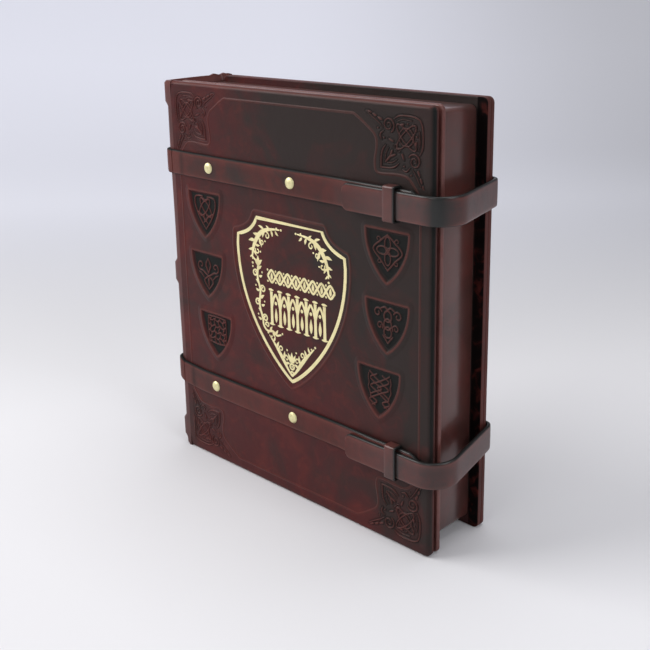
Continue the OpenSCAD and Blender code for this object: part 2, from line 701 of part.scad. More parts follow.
// Half the belt's height there: full, but for the tongue's rounded tip
function belt_half(p) =
    let (left = p[0] - (half_w - tongue_in))
    p[1] < -half_t - tongue_lift + 0.1 && left < tongue_point
        ? strap_w / 2 * (0.5 + 0.5 * sqrt(max(0, 1 - pow(1 - left / tongue_point, 2)))) : strap_w / 2;
tip_steps = [0.8, 0.5, 0.2];
module belt(z, bow, drop, rise) {
    base = belt_route(bow, 8);
    last = len(base) - 1;
    tip = [for (k = tip_steps) [base[last][0] + tongue_point * k, base[last][1]]];
    path = concat([for (i = [0:last - 1]) base[i]], [[base[last][0] + tongue_point, base[last][1]]],
                  tip, [base[last]]);
    near = shifted(path, seat_gap);
    far = shifted(path, seat_gap + strap_t);
    rings = [for (i = [0:len(path) - 1])
        let (up = z + belt_up(path[i], drop, rise), h = belt_half(path[i]))
        each [[near[i][0], near[i][1], up - h], [near[i][0], near[i][1], up + h],
              [far[i][0], far[i][1], up + h], [far[i][0], far[i][1], up - h]]];
    sides = [for (i = [0:len(path) - 2], k = [0:3])
        let (a = 4 * i + k, b = 4 * i + (k + 1) % 4)
        each [[a, b, b + 4], [a, b + 4, a + 4]]];
    end = 4 * (len(path) - 1);
    polyhedron(rings, concat([[3, 2, 1, 0]], sides, [[end, end + 1, end + 2, end + 3]]));
}
module upper_belt() color(leather) placed() belt(upper_z, upper_bow, upper_drop, upper_rise);
module lower_belt() color(leather) placed() belt(lower_z, lower_bow, lower_drop, lower_rise);

front_cover();
front_lining();
gold_foil();
upper_front_strap();
lower_front_strap();
upper_keeper();
lower_keeper();
upper_spine_rivet_cap();
upper_spine_rivet_post();
upper_middle_rivet_cap();
upper_middle_rivet_post();
lower_spine_rivet_cap();
lower_spine_rivet_post();
lower_middle_rivet_cap();
lower_middle_rivet_post();
spine();
back_cover();
back_lining();
edge_wall();
page_block();
upper_belt();
lower_belt();
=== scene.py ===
import math

import bmesh
import bpy
import numpy as np
from mathutils import Matrix, Vector


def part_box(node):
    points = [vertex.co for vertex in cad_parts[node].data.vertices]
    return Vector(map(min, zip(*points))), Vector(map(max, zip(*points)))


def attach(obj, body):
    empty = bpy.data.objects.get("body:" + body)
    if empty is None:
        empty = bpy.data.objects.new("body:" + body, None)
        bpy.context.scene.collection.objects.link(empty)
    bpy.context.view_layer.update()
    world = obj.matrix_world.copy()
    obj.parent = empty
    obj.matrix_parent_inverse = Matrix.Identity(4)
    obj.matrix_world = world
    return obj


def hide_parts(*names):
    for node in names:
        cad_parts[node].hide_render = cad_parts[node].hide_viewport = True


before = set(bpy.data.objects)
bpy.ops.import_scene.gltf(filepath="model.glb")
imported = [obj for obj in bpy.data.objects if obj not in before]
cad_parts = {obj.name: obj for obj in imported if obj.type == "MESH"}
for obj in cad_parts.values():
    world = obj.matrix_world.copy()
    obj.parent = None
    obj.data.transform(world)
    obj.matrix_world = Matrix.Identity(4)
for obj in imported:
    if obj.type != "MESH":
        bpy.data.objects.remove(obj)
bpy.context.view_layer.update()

# Camera
# The photograph looks at the front cover and the fore-edge from the right, a little from above.
# Its middle lies below the lens axis, which a small downward shift repeats.
eye = Vector((0.5423, -0.5423, 0.4133))
to_right = Vector((0.7144, 0.6995, -0.0186)).normalized()
backwards = Vector((0.6766, -0.6837, 0.2733)).normalized()
to_up = backwards.cross(to_right).normalized()


def placed(name, data):
    """A new object of the scene that holds the data."""
    made = bpy.data.objects.new(name, data)
    bpy.context.scene.collection.objects.link(made)
    return made


view = bpy.data.cameras.new("view")
view.sensor_width = 36
view.lens = 55.93
view.shift_y = -0.10
view.clip_end = 100
viewer = placed("view", view)
facing = Matrix((to_right, to_up, backwards)).transposed().to_4x4()
viewer.matrix_world = Matrix.Translation(eye) @ facing
bpy.context.scene.camera = viewer
bpy.context.scene.view_settings.view_transform = "Standard"

# Cover leather
# Thick vegetable-tanned hide, dyed oxblood, then rubbed with a dark green-black wax that stays in the
# hollows and clouds the surface. Raised lines and turned edges are rubbed back to a redder brown. The
# same near-black also paints shade into grooves, gaps and recesses, and the same redder brown paints
# highlights on some lit rims.
MM = 0.001
oxblood = (0.067, 0.0155, 0.0158, 1)
wax = (0.0285, 0.0205, 0.0190, 1)
ember = (0.112, 0.0215, 0.0175, 1)
hollow_wax = (0.0115, 0.0120, 0.0115, 1)
worn_and_lit_red = (0.140, 0.040, 0.032, 1)


class Tone:
    """A socket of a finish's nodes: sums and products of tones add the Math nodes that make them."""

    def __init__(self, tree, socket=None):
        self.tree = tree
        self.socket = socket

    def node(self, kind, settings=(), inputs=(), output=0):
        made = self.tree.nodes.new(kind)
        for name, value in dict(settings).items():
            setattr(made, name, value)
        for name, value in dict(inputs).items():
            if isinstance(value, Tone):
                self.tree.links.new(value.socket, made.inputs[name])
            else:
                made.inputs[name].default_value = value
        return Tone(self.tree, made.outputs[output])

    def math(self, operation, *values):
        return self.node("ShaderNodeMath", {"operation": operation}, enumerate(values))

    def __add__(self, other):
        return self.math("ADD", self, other)

    __radd__ = __add__

    def __sub__(self, other):
        return self.math("SUBTRACT", self, other)

    def __rsub__(self, other):
        return self.math("SUBTRACT", other, self)

    def __mul__(self, other):
        return self.math("MULTIPLY", self, other)

    __rmul__ = __mul__

    def cloud(self, size, detail=3.0, twist=0.0, rough=0.5):
        """Soft noise whose patches are about size millimetres across; self is the place."""
        return self.node("ShaderNodeTexNoise", (), {"Vector": self, "Scale": 1000 / size, "Detail": detail,
                                                    "Distortion": twist, "Roughness": rough})

    def mask(self, low, high):
        """0 below low, 1 above high and smooth between."""
        return self.node("ShaderNodeMapRange", {"interpolation_type": "SMOOTHSTEP"},
                         {0: self, 1: low, 2: high, 3: 0.0, 4: 1.0})

    def between(self, first, second):
        """The first colour where this tone is 0, the second where it is 1."""
        return self.node("ShaderNodeMix", {"data_type": "RGBA"}, {0: self, 6: first, 7: second}, 2)

    def axis(self, number):
        return self.node("ShaderNodeSeparateXYZ", (), {0: self}, number)

    def as_bump(self):
        """The slope of a surface whose height in millimetres is this tone."""
        return self.node("ShaderNodeBump", (), {"Strength": 1.0, "Distance": MM, "Height": self})


def new_finish(name):
    made = bpy.data.materials.new(name)
    made.use_nodes = True
    start = Tone(made.node_tree)
    place = start.node("ShaderNodeTexCoord", output="Object")
    return made, made.node_tree.nodes["Principled BSDF"], start, place


def feed(shader, **values):
    """Links each tone to the socket of its name; a value that is the same all over is set on it."""
    for name, value in values.items():
        socket = shader.inputs[name.replace("_", " ")]
        if isinstance(value, Tone):
            shader.id_data.links.new(value.socket, socket)
        else:
            socket.default_value = value


def leather(name, body, patches=1.0, shade=0.0, gloss=0.40, grain=1.0, shine=0.11, handled=0.0):
    """Hide dyed in the body colour: patches is how strong its clouds are, shade how dark the wax makes it
    towards the upper right, and handled how much polish hands have left towards the fore-edge."""
    made, shader, start, place = new_finish(name)
    dark = place.cloud(60, 6, 1.1, 0.58).mask(0.40, 0.72) * (0.72 * patches)
    dark = dark + (place.axis(0) + place.axis(2) * 0.55).mask(0.06, 0.21) * shade
    warm = place.cloud(26, 5, 0.9, 0.58).mask(0.46, 0.70) * (0.45 * patches)
    worn = place.cloud(10, 5, 0.8).mask(0.50, 0.74) * 0.5
    # Two marks set by the pieces: the first turns the colour to the near-black of the wax, which also paints
    # shade into grooves, gaps and recesses; the second turns it to the redder brown of wear, which also
    # paints highlights on lit rims.
    hollow, wear_and_light = (start.node("ShaderNodeAttribute", {"attribute_name": kind}, output="Fac")
                      for kind in ("hollow", "wear_and_light"))
    colour = dark.math("MINIMUM", dark, 1.0).between(warm.between(body, ember), wax)
    colour = (worn * (1.1 - dark)).between(colour, ember)
    colour = (wear_and_light * (0.45 + place.cloud(5, 2) * 0.5)).between(colour, worn_and_lit_red)
    polish = place.cloud(30, 3).mask(0.3, 0.75) * 0.10 + place.cloud(2.2, 2) * 0.08
    pore_size = 1.1
    pores = place.node("ShaderNodeTexVoronoi", {"feature": "SMOOTH_F1"},
                       {"Vector": place, "Scale": 1000 / pore_size, "Randomness": 1.0})
    creases = place.cloud(0.5, 2) * (0.018 * grain) + place.cloud(11, 3, 0.4) * 0.16
    feed(shader, Base_Color=hollow.between(colour, hollow_wax), Specular_IOR_Level=shine,
         Roughness=polish + hollow * 0.35 + (gloss - 0.09),
         Normal=(pores * (0.030 * grain) + creases).as_bump())
    if handled:
        feed(shader, Coat_Weight=place.axis(0).mask(0.03, 0.12) * handled, Coat_Roughness=0.22)
    return made


cover_leather = leather("cover_leather", oxblood, shade=0.9)

# Front cover's board
# Card wrapped in the leather, its front edge padded round, its corners turned. Places on it are in
# millimetres from the cover's middle and its tail edge; blocked panels are let into shallow pockets.
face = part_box("upper_front_strap")[1].y
cover_low, cover_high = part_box("front_cover")
half_width = 139.5
middle = cover_high.x - half_width * MM
book_height = cover_high.z / MM
board_corner = 4.5
front_round = 2.8
back_round = 1.0
joint_lap = 0.12
joint_corners = (1.6 * MM, 0.4 * MM)
pocket_depth = 1.5
shield_across = 100.0
last_shield_across = 92.0
shield_top = 240.6
shield_step = 52.3
panel_half = 29.0
panel_over = 6.4
panel_tall = 52.0
corner_in = 3.4
corner_wide = 58.0
corner_tall = 53.0
joint_in = 2.15
worn_in = 2.2
small_shields = [
    (-shield_across, 0), (-shield_across, 1), (-last_shield_across, 2), (shield_across, 0),
    (shield_across, 1), (last_shield_across, 2)]


def smooth(value, low, high):
    """0 at low, 1 at high and smooth between."""
    share = np.clip((value - low) / (high - low), 0, 1)
    return share * share * (3 - 2 * share)


def spot(x, out, z):
    """A place in the frame: x from the cover's middle, out in front of its face, z above its tail."""
    return Vector((middle + x * MM, face - out * MM, z * MM))


def panel_of(shield):
    x, row = shield
    top = shield_top - row * shield_step + panel_over
    return x - panel_half, x + panel_half, top - panel_tall, top


shield_panels = [panel_of(s) for s in small_shields]
corner_panels = []
for side in (-1, 1):
    for end in (0, 1):
        inset = corner_in + worn_in if side < 0 and not end else corner_in
        x0 = -half_width + joint_in + inset if side < 0 else half_width - corner_in - corner_wide
        z0 = book_height - corner_in - corner_tall if end else inset
        corner_panels.append((x0, x0 + corner_wide, z0, z0 + corner_tall))
gold_seam = 143.0
gold_panels = [(-70.0, 70.0, gold_seam, 241.0), (-57.0, 57.0, 86.0, gold_seam)]
panels = shield_panels + corner_panels + gold_panels


def block(low, high, corner, front, back, segments=5, hinged=None):
    """A board between two corners of its box, its corners and both rims rounded. A hinged one has its own
    two radii at the left side's corners, tail first, and that side's front rim stays square."""
    made = bmesh.new()
    bmesh.ops.create_cube(made, size=1)
    size = high - low
    bmesh.ops.transform(made, verts=made.verts, matrix=Matrix.Translation((low + high) / 2)
                        @ Matrix.Diagonal((*size, 1)))

    def rounded_off(edges, radius):
        bmesh.ops.bevel(made, geom=edges, offset=radius, affect="EDGES", segments=segments, profile=0.5,
                        material=-1)
    for x, z, radius in ((low.x, low.z, hinged[0] if hinged else corner), (high.x, low.z, corner),
                         (low.x, high.z, hinged[1] if hinged else corner), (high.x, high.z, corner)):
        rounded_off([e for e in made.edges
                     if all(abs(v.co.x - x) + abs(v.co.z - z) < 1e-6 for v in e.verts)], radius)
    for y, radius in ((low.y, front), (high.y, back)):
        rounded_off([e for e in made.edges if all(abs(v.co.y - y) < 1e-6 for v in e.verts) and not (
            hinged and y == low.y and all(abs(v.co.x - low.x) < 1e-6 for v in e.verts))], radius)
    return made


def meshed(made, name):
    """Turns a bmesh into a smooth mesh."""
    mesh = bpy.data.meshes.new(name)
    made.to_mesh(mesh)
    made.free()
    mesh.shade_smooth()
    return mesh


def finished(made, name, finish, body, stands_for=(), sharp=35.0, flat_faces=False):
    """Turns a bmesh into a piece that rides on its body, smooth but for its sharp edges."""
    mesh = meshed(made, name)
    mesh.set_sharp_from_angle(angle=math.radians(sharp))
    mesh.materials.append(finish)
    piece = placed(name, mesh)
    if flat_faces:
        piece.modifiers.new("flat_faces", "WEIGHTED_NORMAL").keep_sharp = True
    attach(piece, body)
    if stands_for:
        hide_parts(*stands_for)
    return piece


def mark(piece, name, values):
    piece.data.attributes.new(name, "FLOAT", "POINT").data.foreach_set("value", values)


def cut(made, place, across):
    """Divides the faces that a plane crosses."""
    bmesh.ops.bisect_plane(made, geom=made.verts[:] + made.edges[:] + made.faces[:],
                           plane_co=place, plane_no=across)


board = block(Vector((cover_low.x - joint_lap * MM, face, 0)), cover_high, board_corner * MM,
              front_round * MM, back_round * MM, hinged=joint_corners)
for place_x in sorted({x for p in panels for x in p[:2]}):
    cut(board, spot(place_x, 0, 0), (1, 0, 0))
for place_z in sorted({z for p in panels for z in p[2:]}):
    cut(board, spot(0, 0, place_z), (0, 0, 1))


def inside_panel(point):
    x = (point.x - middle) / MM
    z = point.z / MM
    return any(p[0] < x < p[1] and p[2] < z < p[3] for p in panels)


sunk = [f for f in board.faces if f.normal.y < -0.99 and inside_panel(f.calc_center_median())
        and abs(f.calc_center_median().y - face) < 1e-6]
moved = bmesh.ops.extrude_face_region(board, geom=sunk)
bmesh.ops.translate(board, vec=(0, pocket_depth * MM, 0),
                    verts=[v for v in moved["geom"] if isinstance(v, bmesh.types.BMVert)])
bmesh.ops.delete(board, geom=sunk, context="FACES_ONLY")
covered = finished(board, "front_cover_board", cover_leather, "front", ["front_cover"],
                   flat_faces=True)
at = np.array([v.co for v in covered.data.vertices])
behind = (at[:, 1] - face) / MM
up = at[:, 2] / MM
# Painted light on the board: its fore side is painted near black next to the front rim, the shade of the
# groove there, fading out towards the tail; further back that side is painted lighter for the light it
# catches, and the head rim is painted lighter as a highlight.
fore_side = smooth((cover_high.x - at[:, 0]) / MM, front_round, 0.8) * smooth(behind, 0.2, 1.0)
fore_rim_shade = fore_side * (1 - smooth(behind, front_round + 0.2, 5.0))
head_rim_highlight = smooth(up, book_height - front_round, book_height - 0.4)
mark(covered, "hollow", fore_rim_shade * smooth(up, 30, 110))
mark(covered, "wear_and_light", np.maximum(0.8 * fore_side * smooth(behind, front_round, 5.0), 0.75 * head_rim_highlight))

# Blocked panels of the front cover
# The damp leather is pressed into shape with heated dies: raised welts, sunk fields and scrollwork.
# Each panel is one skin of the same leather, whose height follows the die's strokes.
grid_step = 0.39
skin = pocket_depth - 0.2
welt_out = 0.80
field_sink = 1.0
charge_out = 0.95


def curve(points, steps=6):
    """A smooth line through points [x, z, half width]."""
    pts = np.array(points, float)
    pts = np.vstack([2 * pts[0] - pts[1], pts, 2 * pts[-1] - pts[-2]])
    out = []
    for a, b, c, d in zip(pts[:-3], pts[1:-2], pts[2:-1], pts[3:]):
        for t in np.linspace(0, 1, steps, endpoint=False):
            out.append(b + 0.5 * t * (c - a + t * (2 * a - 5 * b + 4 * c - d + t * (3 * (b - c) + d - a))))
    out.append(pts[-2])
    return np.array(out)


def coil(x, z, r0, r1, a0, a1, w0=0.8, w1=0.7):
    """A spiral line round (x, z), from radius r0 and angle a0 to r1 and a1 in degrees."""
    count = max(8, int(abs(a1 - a0) / 14))
    t = np.linspace(0, 1, count + 1)
    a = np.radians(a0 + (a1 - a0) * t)
    r = r0 + (r1 - r0) * t
    return np.stack([x + r * np.cos(a), z + r * np.sin(a), w0 + (w1 - w0) * t], 1)


def dot(x, z, r):
    return np.array([[x - 0.01, z, r], [x + 0.01, z, r]])


def leaf_die(x0, z0, x1, z1, wide):
    """A small pointed leaf from one place to another."""
    t = np.linspace(0, 1, 7)
    return np.stack([x0 + (x1 - x0) * t, z0 + (z1 - z0) * t, 0.3 + wide * np.sin(np.pi * t ** 0.7)], 1)


def oval(x, z, long, wide, turn, w=0.8):
    """A closed oval band round (x, z), its long half axis turned by that many degrees."""
    t = np.linspace(0, 2 * np.pi, 31)
    c, s = math.cos(math.radians(turn)), math.sin(math.radians(turn))
    u, v = long * np.cos(t), wide * np.sin(t)
    return np.stack([x + u * c - v * s, z + u * s + v * c, np.full(31, w)], 1)


def mirrored(strokes):
    """The strokes and their mirror images at the other side of the middle."""
    return strokes + [line * [-1, 1, 1] for line in strokes]


def stroke_height(x, z, strokes):
    """The rounded height of the nearest stroke at each point, from 0 to 1."""
    best = np.zeros_like(x)
    for line in strokes:
        reach = line[:, 2].max() + 0.1
        low, high = line.min(0) - reach, line.max(0) + reach
        near = np.flatnonzero((x > low[0]) & (x < high[0]) & (z > low[1]) & (z < high[1]))
        if not len(near):
            continue
        a, b = line[:-1], line[1:]
        run = b[:, :2] - a[:, :2]
        px, pz = x[near][:, None] - a[:, 0], z[near][:, None] - a[:, 1]
        t = np.clip((px * run[:, 0] + pz * run[:, 1]) / np.maximum((run ** 2).sum(1), 1e-12), 0, 1)
        half = a[:, 2] + t * (b[:, 2] - a[:, 2])
        away = np.hypot(px - t * run[:, 0], pz - t * run[:, 1]) / half
        round_top = np.clip(1 - away ** 2, 0, 1) ** 0.75 * np.clip(half / 0.7, 0.5, 1)
        best[near] = np.maximum(best[near], round_top.max(1))
    return best


def outline_distance(x, z, outline):
    """How far each point lies outside a closed outline, below 0 inside it."""
    a = np.asarray(outline, float)[:, :2]
    b = np.roll(a, -1, 0)
    run = b - a
    px, pz = x[:, None] - a[:, 0], z[:, None] - a[:, 1]
    t = np.clip((px * run[:, 0] + pz * run[:, 1]) / (run ** 2).sum(1), 0, 1)
    away = np.hypot(px - t * run[:, 0], pz - t * run[:, 1]).min(1)
    crosses = (a[:, 1] > z[:, None]) != (b[:, 1] > z[:, None])
    rise = np.where(np.abs(run[:, 1]) < 1e-9, 1e-9, run[:, 1])
    inside = (crosses & (px < run[:, 0] * pz / rise)).sum(1) % 2 == 1
    return np.where(inside, -away, away)


def shield_side(half, count):
    """A shield's curved side: how wide it is, and how far down in shares of its height."""
    down = np.sin(np.radians(np.linspace(0, 90, count)))
    return half * (1 - down ** 2.1) ** 0.87, down


def both_sides(right):
    """A closed outline from its right half, which ends at the point."""
    return np.vstack([right, (right * [-1, 1])[-2::-1]])


def blocked_panel(name, bounds, step, relief, level_sides=(0, 1, 2, 3)):
    """A skin of leather over one pocket: relief gives height, darkening and lightening at each x and z."""
    x0, x1, z0, z1 = bounds
    made = bmesh.new()
    bmesh.ops.create_grid(made, x_segments=round((x1 - x0) / step),
                          y_segments=round((z1 - z0) / step), size=1)
    flat = np.array([v.co[:2] for v in made.verts])
    x = x0 + (x1 - x0) * (flat[:, 0] + 1) / 2
    z = z0 + (z1 - z0) * (flat[:, 1] + 1) / 2
    height, hollow, wear_and_light = relief(x, z)
    to_sides = np.stack([x - x0, x1 - x, z - z0, z1 - z])
    height = height * smooth(to_sides[list(level_sides)].min(0), 0, 1.5)
    marks = [made.verts.layers.float.new(kind) for kind in ("hollow", "wear_and_light")]
    for v, px, pz, h, deep, worn in zip(made.verts, x, z, height, hollow, wear_and_light):
        v.co = spot(px, h, pz)
        v[marks[0]] = deep
        v[marks[1]] = worn
    rim = [e for e in made.edges if e.is_boundary]
    skirt = bmesh.ops.extrude_edge_only(made, edges=rim)["geom"]
    bmesh.ops.translate(made, vec=(0, skin * MM, 0),
                        verts=[v for v in skirt if isinstance(v, bmesh.types.BMVert)])
    bmesh.ops.contextual_create(made, geom=[e for e in made.edges if e.is_boundary])
    return finished(made, name, cover_leather, "front", sharp=60)


# The six charges, each a plain knot or scroll; x from the field's middle, z down from its top
lattice = [curve([[x + 1.0 * (-1) ** k, -3.6 - 3.7 * k, 0.8] for k in range(7)], 4)
           for x in (-8.4, -2.8, 2.8, 8.4)]
lattice += [curve([[-10.6 + 3.53 * k, z + 0.9 * (-1) ** k, 0.8] for k in range(7)], 4)
            for z in (-5.4, -10.8, -16.2, -21.6)]
charges = [
    mirrored([oval(-0.8, -12.4, 9.6, 3.9, 48, 0.75), curve([[-3, -3.4, 0.7], [-8, -3.2, 0.9],
        [-12.6, -5, 0.8], [-12.6, -12, 0.9], [-7.4, -22, 0.9], [0, -31, 0.8]]), curve([[-9.4, -17, 0.7],
        [-3.4, -20.4, 0.8], [2.6, -25.6, 0.7]]), curve([[-4.6, -4.4, 0.6], [0, -7.4, 0.8],
        [4.6, -4.4, 0.6]])]) + [oval(0, -21, 3.6, 1.9, 90, 0.65)],
    mirrored([curve([[0, -4.0, 0.6], [-2.9, -9.6, 1.1], [-1.6, -13.4, 1], [0, -17, 0.8]]),
        coil(-9.4, -11.2, 4.8, 1.0, -70, -450, 0.85, 0.7), curve([[-7.8, -15.6, 0.9], [-4.4, -17.4, 1],
        [0, -20, 0.9]]), curve([[-12.6, -17.4, 0.6], [-9.4, -18.6, 0.8], [-6.2, -21.6, 0.7]]),
        curve([[0, -19.6, 0.8], [-5.6, -24.2, 1], [0, -31.2, 0.8]])]) + [curve([[0, -22.6, 1.6],
        [0, -28, 0.9]])],
    lattice + mirrored([curve([[-11.4, -3.2, 0.7], [-11.6, -14, 0.8], [-10.6, -25, 0.7]])])
    + [curve([[-11, -2.8, 0.7], [0, -2.2, 0.8], [11, -2.8, 0.7]]), curve([[-10.4, -25.6, 0.7],
        [0, -26.4, 0.8], [10.4, -25.6, 0.7]])],
    mirrored([curve([[0, -2.6, 0.8], [-6.4, -7.4, 0.9], [-13.4, -14.2, 0.9], [-6.6, -21.4, 0.9],
        [0, -28.6, 0.8]]), oval(-4.6, -14.4, 5.4, 2.9, 0, 0.75),
        coil(-8.6, -6.6, 2.3, 0.8, -60, 250, 0.7, 0.6), coil(-8, -22.4, 2.1, 0.8, 60, -250, 0.7, 0.6)])
    + [oval(0, -9.4, 5.2, 2.7, 90, 0.75), oval(0, -19.6, 5.2, 2.7, 90, 0.75)],
    mirrored([coil(-9.4, -8.6, 3.9, 1.1, 20, 400, 0.85, 0.7),
        coil(-7.4, -18.2, 3.1, 1.0, -30, 380, 0.8, 0.7), curve([[-6.4, -5, 0.8], [-2.6, -3.6, 0.9],
        [0, -5.4, 0.9]]), curve([[-4.6, -25, 0.7], [-2.6, -27.2, 0.9], [0, -30.4, 0.8]])])
    + [oval(0, z, 3.5, 4.1, 0, 0.85) for z in (-10.2, -16.2, -22.2)],
    [curve([[x * side, -3.6 - k * 3.65, 0.8]
        for k, x in enumerate((9.6, 4.2, -2.4, -8.6, -2.4, 4.2, 9.6, 4.4))]) for side in (-1, 1)]
    + [curve([[x * side, -4.6 - k * 3.55, 0.8]
        for k, x in enumerate((2.8, 9, 4.4, -1.8, 4.4, 9, 2.8, 7))]) for side in (-1, 1)]
    + [curve([[x, -5.4 - k * 3.6, 0.7] for k, x in enumerate((-10.4, -11, -10.2, -11, -9.4, -8.4))]),
        curve([[x, -5.4 - k * 3.6, 0.7] for k, x in enumerate((10.4, 11, 10.2, 11, 9.4, 8.4))])]]
field_wide = 38.0
field_tall = 36.8
x, down = shield_side(field_wide / 2, 19)
field_outline = both_sides(np.stack([x, -field_tall * down], 1))
seam_at = 4.4
crest_at = 1.1


def shield_relief(x_mid, top, charge):
    def relief(x, z):
        out = outline_distance(x - x_mid, z - top, field_outline)
        raised = stroke_height(x - x_mid, z - top, charge)
        welt = welt_out * (1 - smooth(out, 1.0, 5.8)) + 0.12 * (1 - smooth(np.abs(out - seam_at), 0, 1.6))
        wall = (field_sink + welt_out) * smooth(out, -1.3, 0.8) - field_sink
        height = np.maximum(np.where(out > 0.8, welt, wall), charge_out * raised - field_sink)
        hollow = (1 - smooth(out, -2.0, -0.3)) * (1 - smooth(raised, 0.15, 0.75))
        crest = 1 - smooth(np.abs(out - crest_at), 0.2, 1.6)
        return height, hollow, np.maximum(0.62 * smooth(raised, 0.40, 0.95), 0.75 * crest)
    return relief


for number, ((x_mid, row), bounds) in enumerate(zip(small_shields, shield_panels)):
    blocked_panel(f"shield_panel_{number + 1}", bounds, grid_step,
                  shield_relief(x_mid, shield_top - row * shield_step, charges[number]))

# Half of the strapwork at a corner, in distances from the cover's two edges; the other half mirrors it
corner_half = [
    coil(38.2, 15.4, 5.4, 0.9, 120, 720, 0.75, 0.55), curve([[33.6, 11.2, 0.5], [28.6, 8.6, 0.7],
        [21, 8.2, 0.75], [14.6, 8.8, 0.75], [10.6, 10.6, 0.7]]), curve([[31, 12.6, 0.45],
        [25.6, 10.9, 0.55], [18, 11.4, 0.55]]), leaf_die(43.6, 12.6, 48.2, 10.6, 1.0),
    leaf_die(48.6, 10.4, 52.8, 8.6, 0.9), leaf_die(53.2, 8.4, 57.4, 6.8, 0.7), curve([[43.2, 17.4, 0.5],
        [48, 13.8, 0.6], [53, 10.9, 0.6], [58.4, 7.2, 0.5]]), curve([[42.6, 19.4, 0.5],
        [45.6, 22.4, 0.8], [44.4, 26, 0.5]]), dot(42.2, 24.4, 1.0), dot(47.6, 18.2, 1.0),
    dot(17.4, 14.4, 1.1), dot(21.4, 13.6, 0.9), leaf_die(24.4, 14, 28.6, 14.6, 0.8),
    curve([[40.6, 29, 0.5], [43.4, 32.6, 0.75], [44.6, 37.4, 0.8], [44.8, 45.0, 0.75]]),
    curve([[38, 30.6, 0.45], [40.4, 34.4, 0.6], [41.2, 39.4, 0.55]]),
    leaf_die(34.6, 31.6, 37.6, 38.4, 0.8), coil(31.6, 29.6, 1.6, 1.6, 0, 360, 0.5, 0.5),
    leaf_die(33.4, 26.4, 38.6, 24.4, 0.8)]
knot_at = 22.6
corner_strokes = corner_half + [line[:, [1, 0, 2]] for line in corner_half]
corner_strokes += [oval(knot_at, knot_at, 11.4, 3.5, turn, 0.65) for turn in (45, 135)]
corner_strokes += [coil(knot_at, knot_at, 6.2, 6.2, 0, 360, 0.6, 0.6), leaf_die(36, 36, 41.6, 41.6, 0.9)]
corner_hollows = [line + [0, 0, 0.75] for line in corner_strokes]
corner_ground = [
    [7.4, 7.4], [33, 6.4], [57.5, 5.4], [59, 9.6], [46.6, 20], [46.8, 46.8], [20, 46.6], [9.6, 59],
    [5.4, 57.5], [6.4, 33]]


def corner_relief(side, end):
    """The strapwork in its sunk ground; it is pressed less deep on the spine's side."""
    def relief(x, z):
        u = half_width - x * side
        v = book_height - z if end else z
        raised = stroke_height(u, v, corner_strokes)
        beside = stroke_height(u, v, corner_hollows)
        ground = 1 - smooth(outline_distance(u, v, corner_ground), -3.0, 0.8)
        deep = 0.8 if side < 0 else 1.0
        height = deep * np.maximum(-0.24 * ground - 0.36 * smooth(beside, 0, 0.8), 1.15 * raised - 0.6)
        # The sunk grooves beside the strokes hold wax, and their darkening also paints the shade along the
        # strokes.
        hollow = deep * (0.15 * ground + 0.55 * beside) * (1 - smooth(raised, 0.05, 0.6))
        return height, hollow, smooth(raised, 0.45, 1) * 0.6
    return relief


for number, bounds in enumerate(corner_panels):
    blocked_panel(f"corner_panel_{number + 1}", bounds, grid_step,
                  corner_relief((-1, 1)[number // 2], number % 2))

# Outline of the centre shield: straight top, hollow shoulders, curved sides and a point
gold_half = 61.0
gold_top = 231.0
gold_tip = 98.9
top_half = 37.0
shoulder_down = 17.0
side_down = 25.5
gold_welt_at = 3.9


def gold_outline(out):
    """The shield's outline, moved outwards by that much."""
    start = np.array([top_half + 0.55 * out, gold_top + out])
    stop = np.array([gold_half + out - 0.8, gold_top - shoulder_down + 0.6 * out])
    bend = np.array([start[0] + 4.6, stop[1] + 4.4])
    t = np.linspace(0, 1, 11)[:, None]
    shoulder = start * (1 - t) ** 2 + 2 * bend * t * (1 - t) + stop * t ** 2
    x, down = shield_side(gold_half + out, 22)
    wide_at = gold_top - side_down
    side = np.stack([x, wide_at - (wide_at - gold_tip + 1.4 * out) * down], 1)
    return both_sides(np.vstack([shoulder, side]))


def gold_relief(x, z):
    out = outline_distance(x, z, gold_outline(0))
    from_welt = np.abs(out - gold_welt_at)
    welt = 0.62 * (1 - smooth(from_welt, 0.0, 1.9))
    swell = 0.14 * smooth(out, 0.5, 3.4) * (1 - smooth(out, 4.0, 9.5))
    pressed = -0.14 * (1 - smooth(np.abs(out + 1.5), 1.3, 2.6))
    return np.maximum(welt, swell) + pressed, np.zeros_like(x), 0.5 * (1 - smooth(from_welt, 0.2, 1.6))


for number, (bounds, sides) in enumerate(zip(gold_panels, [(0, 1, 3), (0, 1, 2)])):
    blocked_panel(f"centre_panel_{number + 1}", bounds, 0.5, gold_relief, sides)

# Tooled border line
# A narrow line pressed up between two rolls, a finger's width in from the cover's edges; it steps in
# round each corner's strapwork. Its sides run out level with the leather.
border_half = 1.1
border_out = 0.32
border_steps = [
    (70, 10), (64, 13.4), (57.4, 17.8), (51.6, 22), (49, 27), (49.4, 34), (50.6, 40), (50.4, 46),
    (48.6, 48.6), (44, 49.4), (32, 48.6), (22, 49.4), (16.4, 54), (11.4, 61), (10, 70)]
border_section = [
    (-0.9, -0.3), (-1, -0.04), (-0.55, 0.5), (-0.22, 0.95), (0, 1), (0.22, 0.95), (0.55, 0.5),
    (1, -0.04), (0.9, -0.3)]


def sealed(made):
    """Merges a skin's doubled vertices, fills its open ends and turns its faces outwards."""
    bmesh.ops.remove_doubles(made, verts=made.verts, dist=1e-6)
    bmesh.ops.holes_fill(made, edges=[e for e in made.edges if e.is_boundary], sides=0)
    bmesh.ops.recalc_face_normals(made, faces=made.faces)
    return made


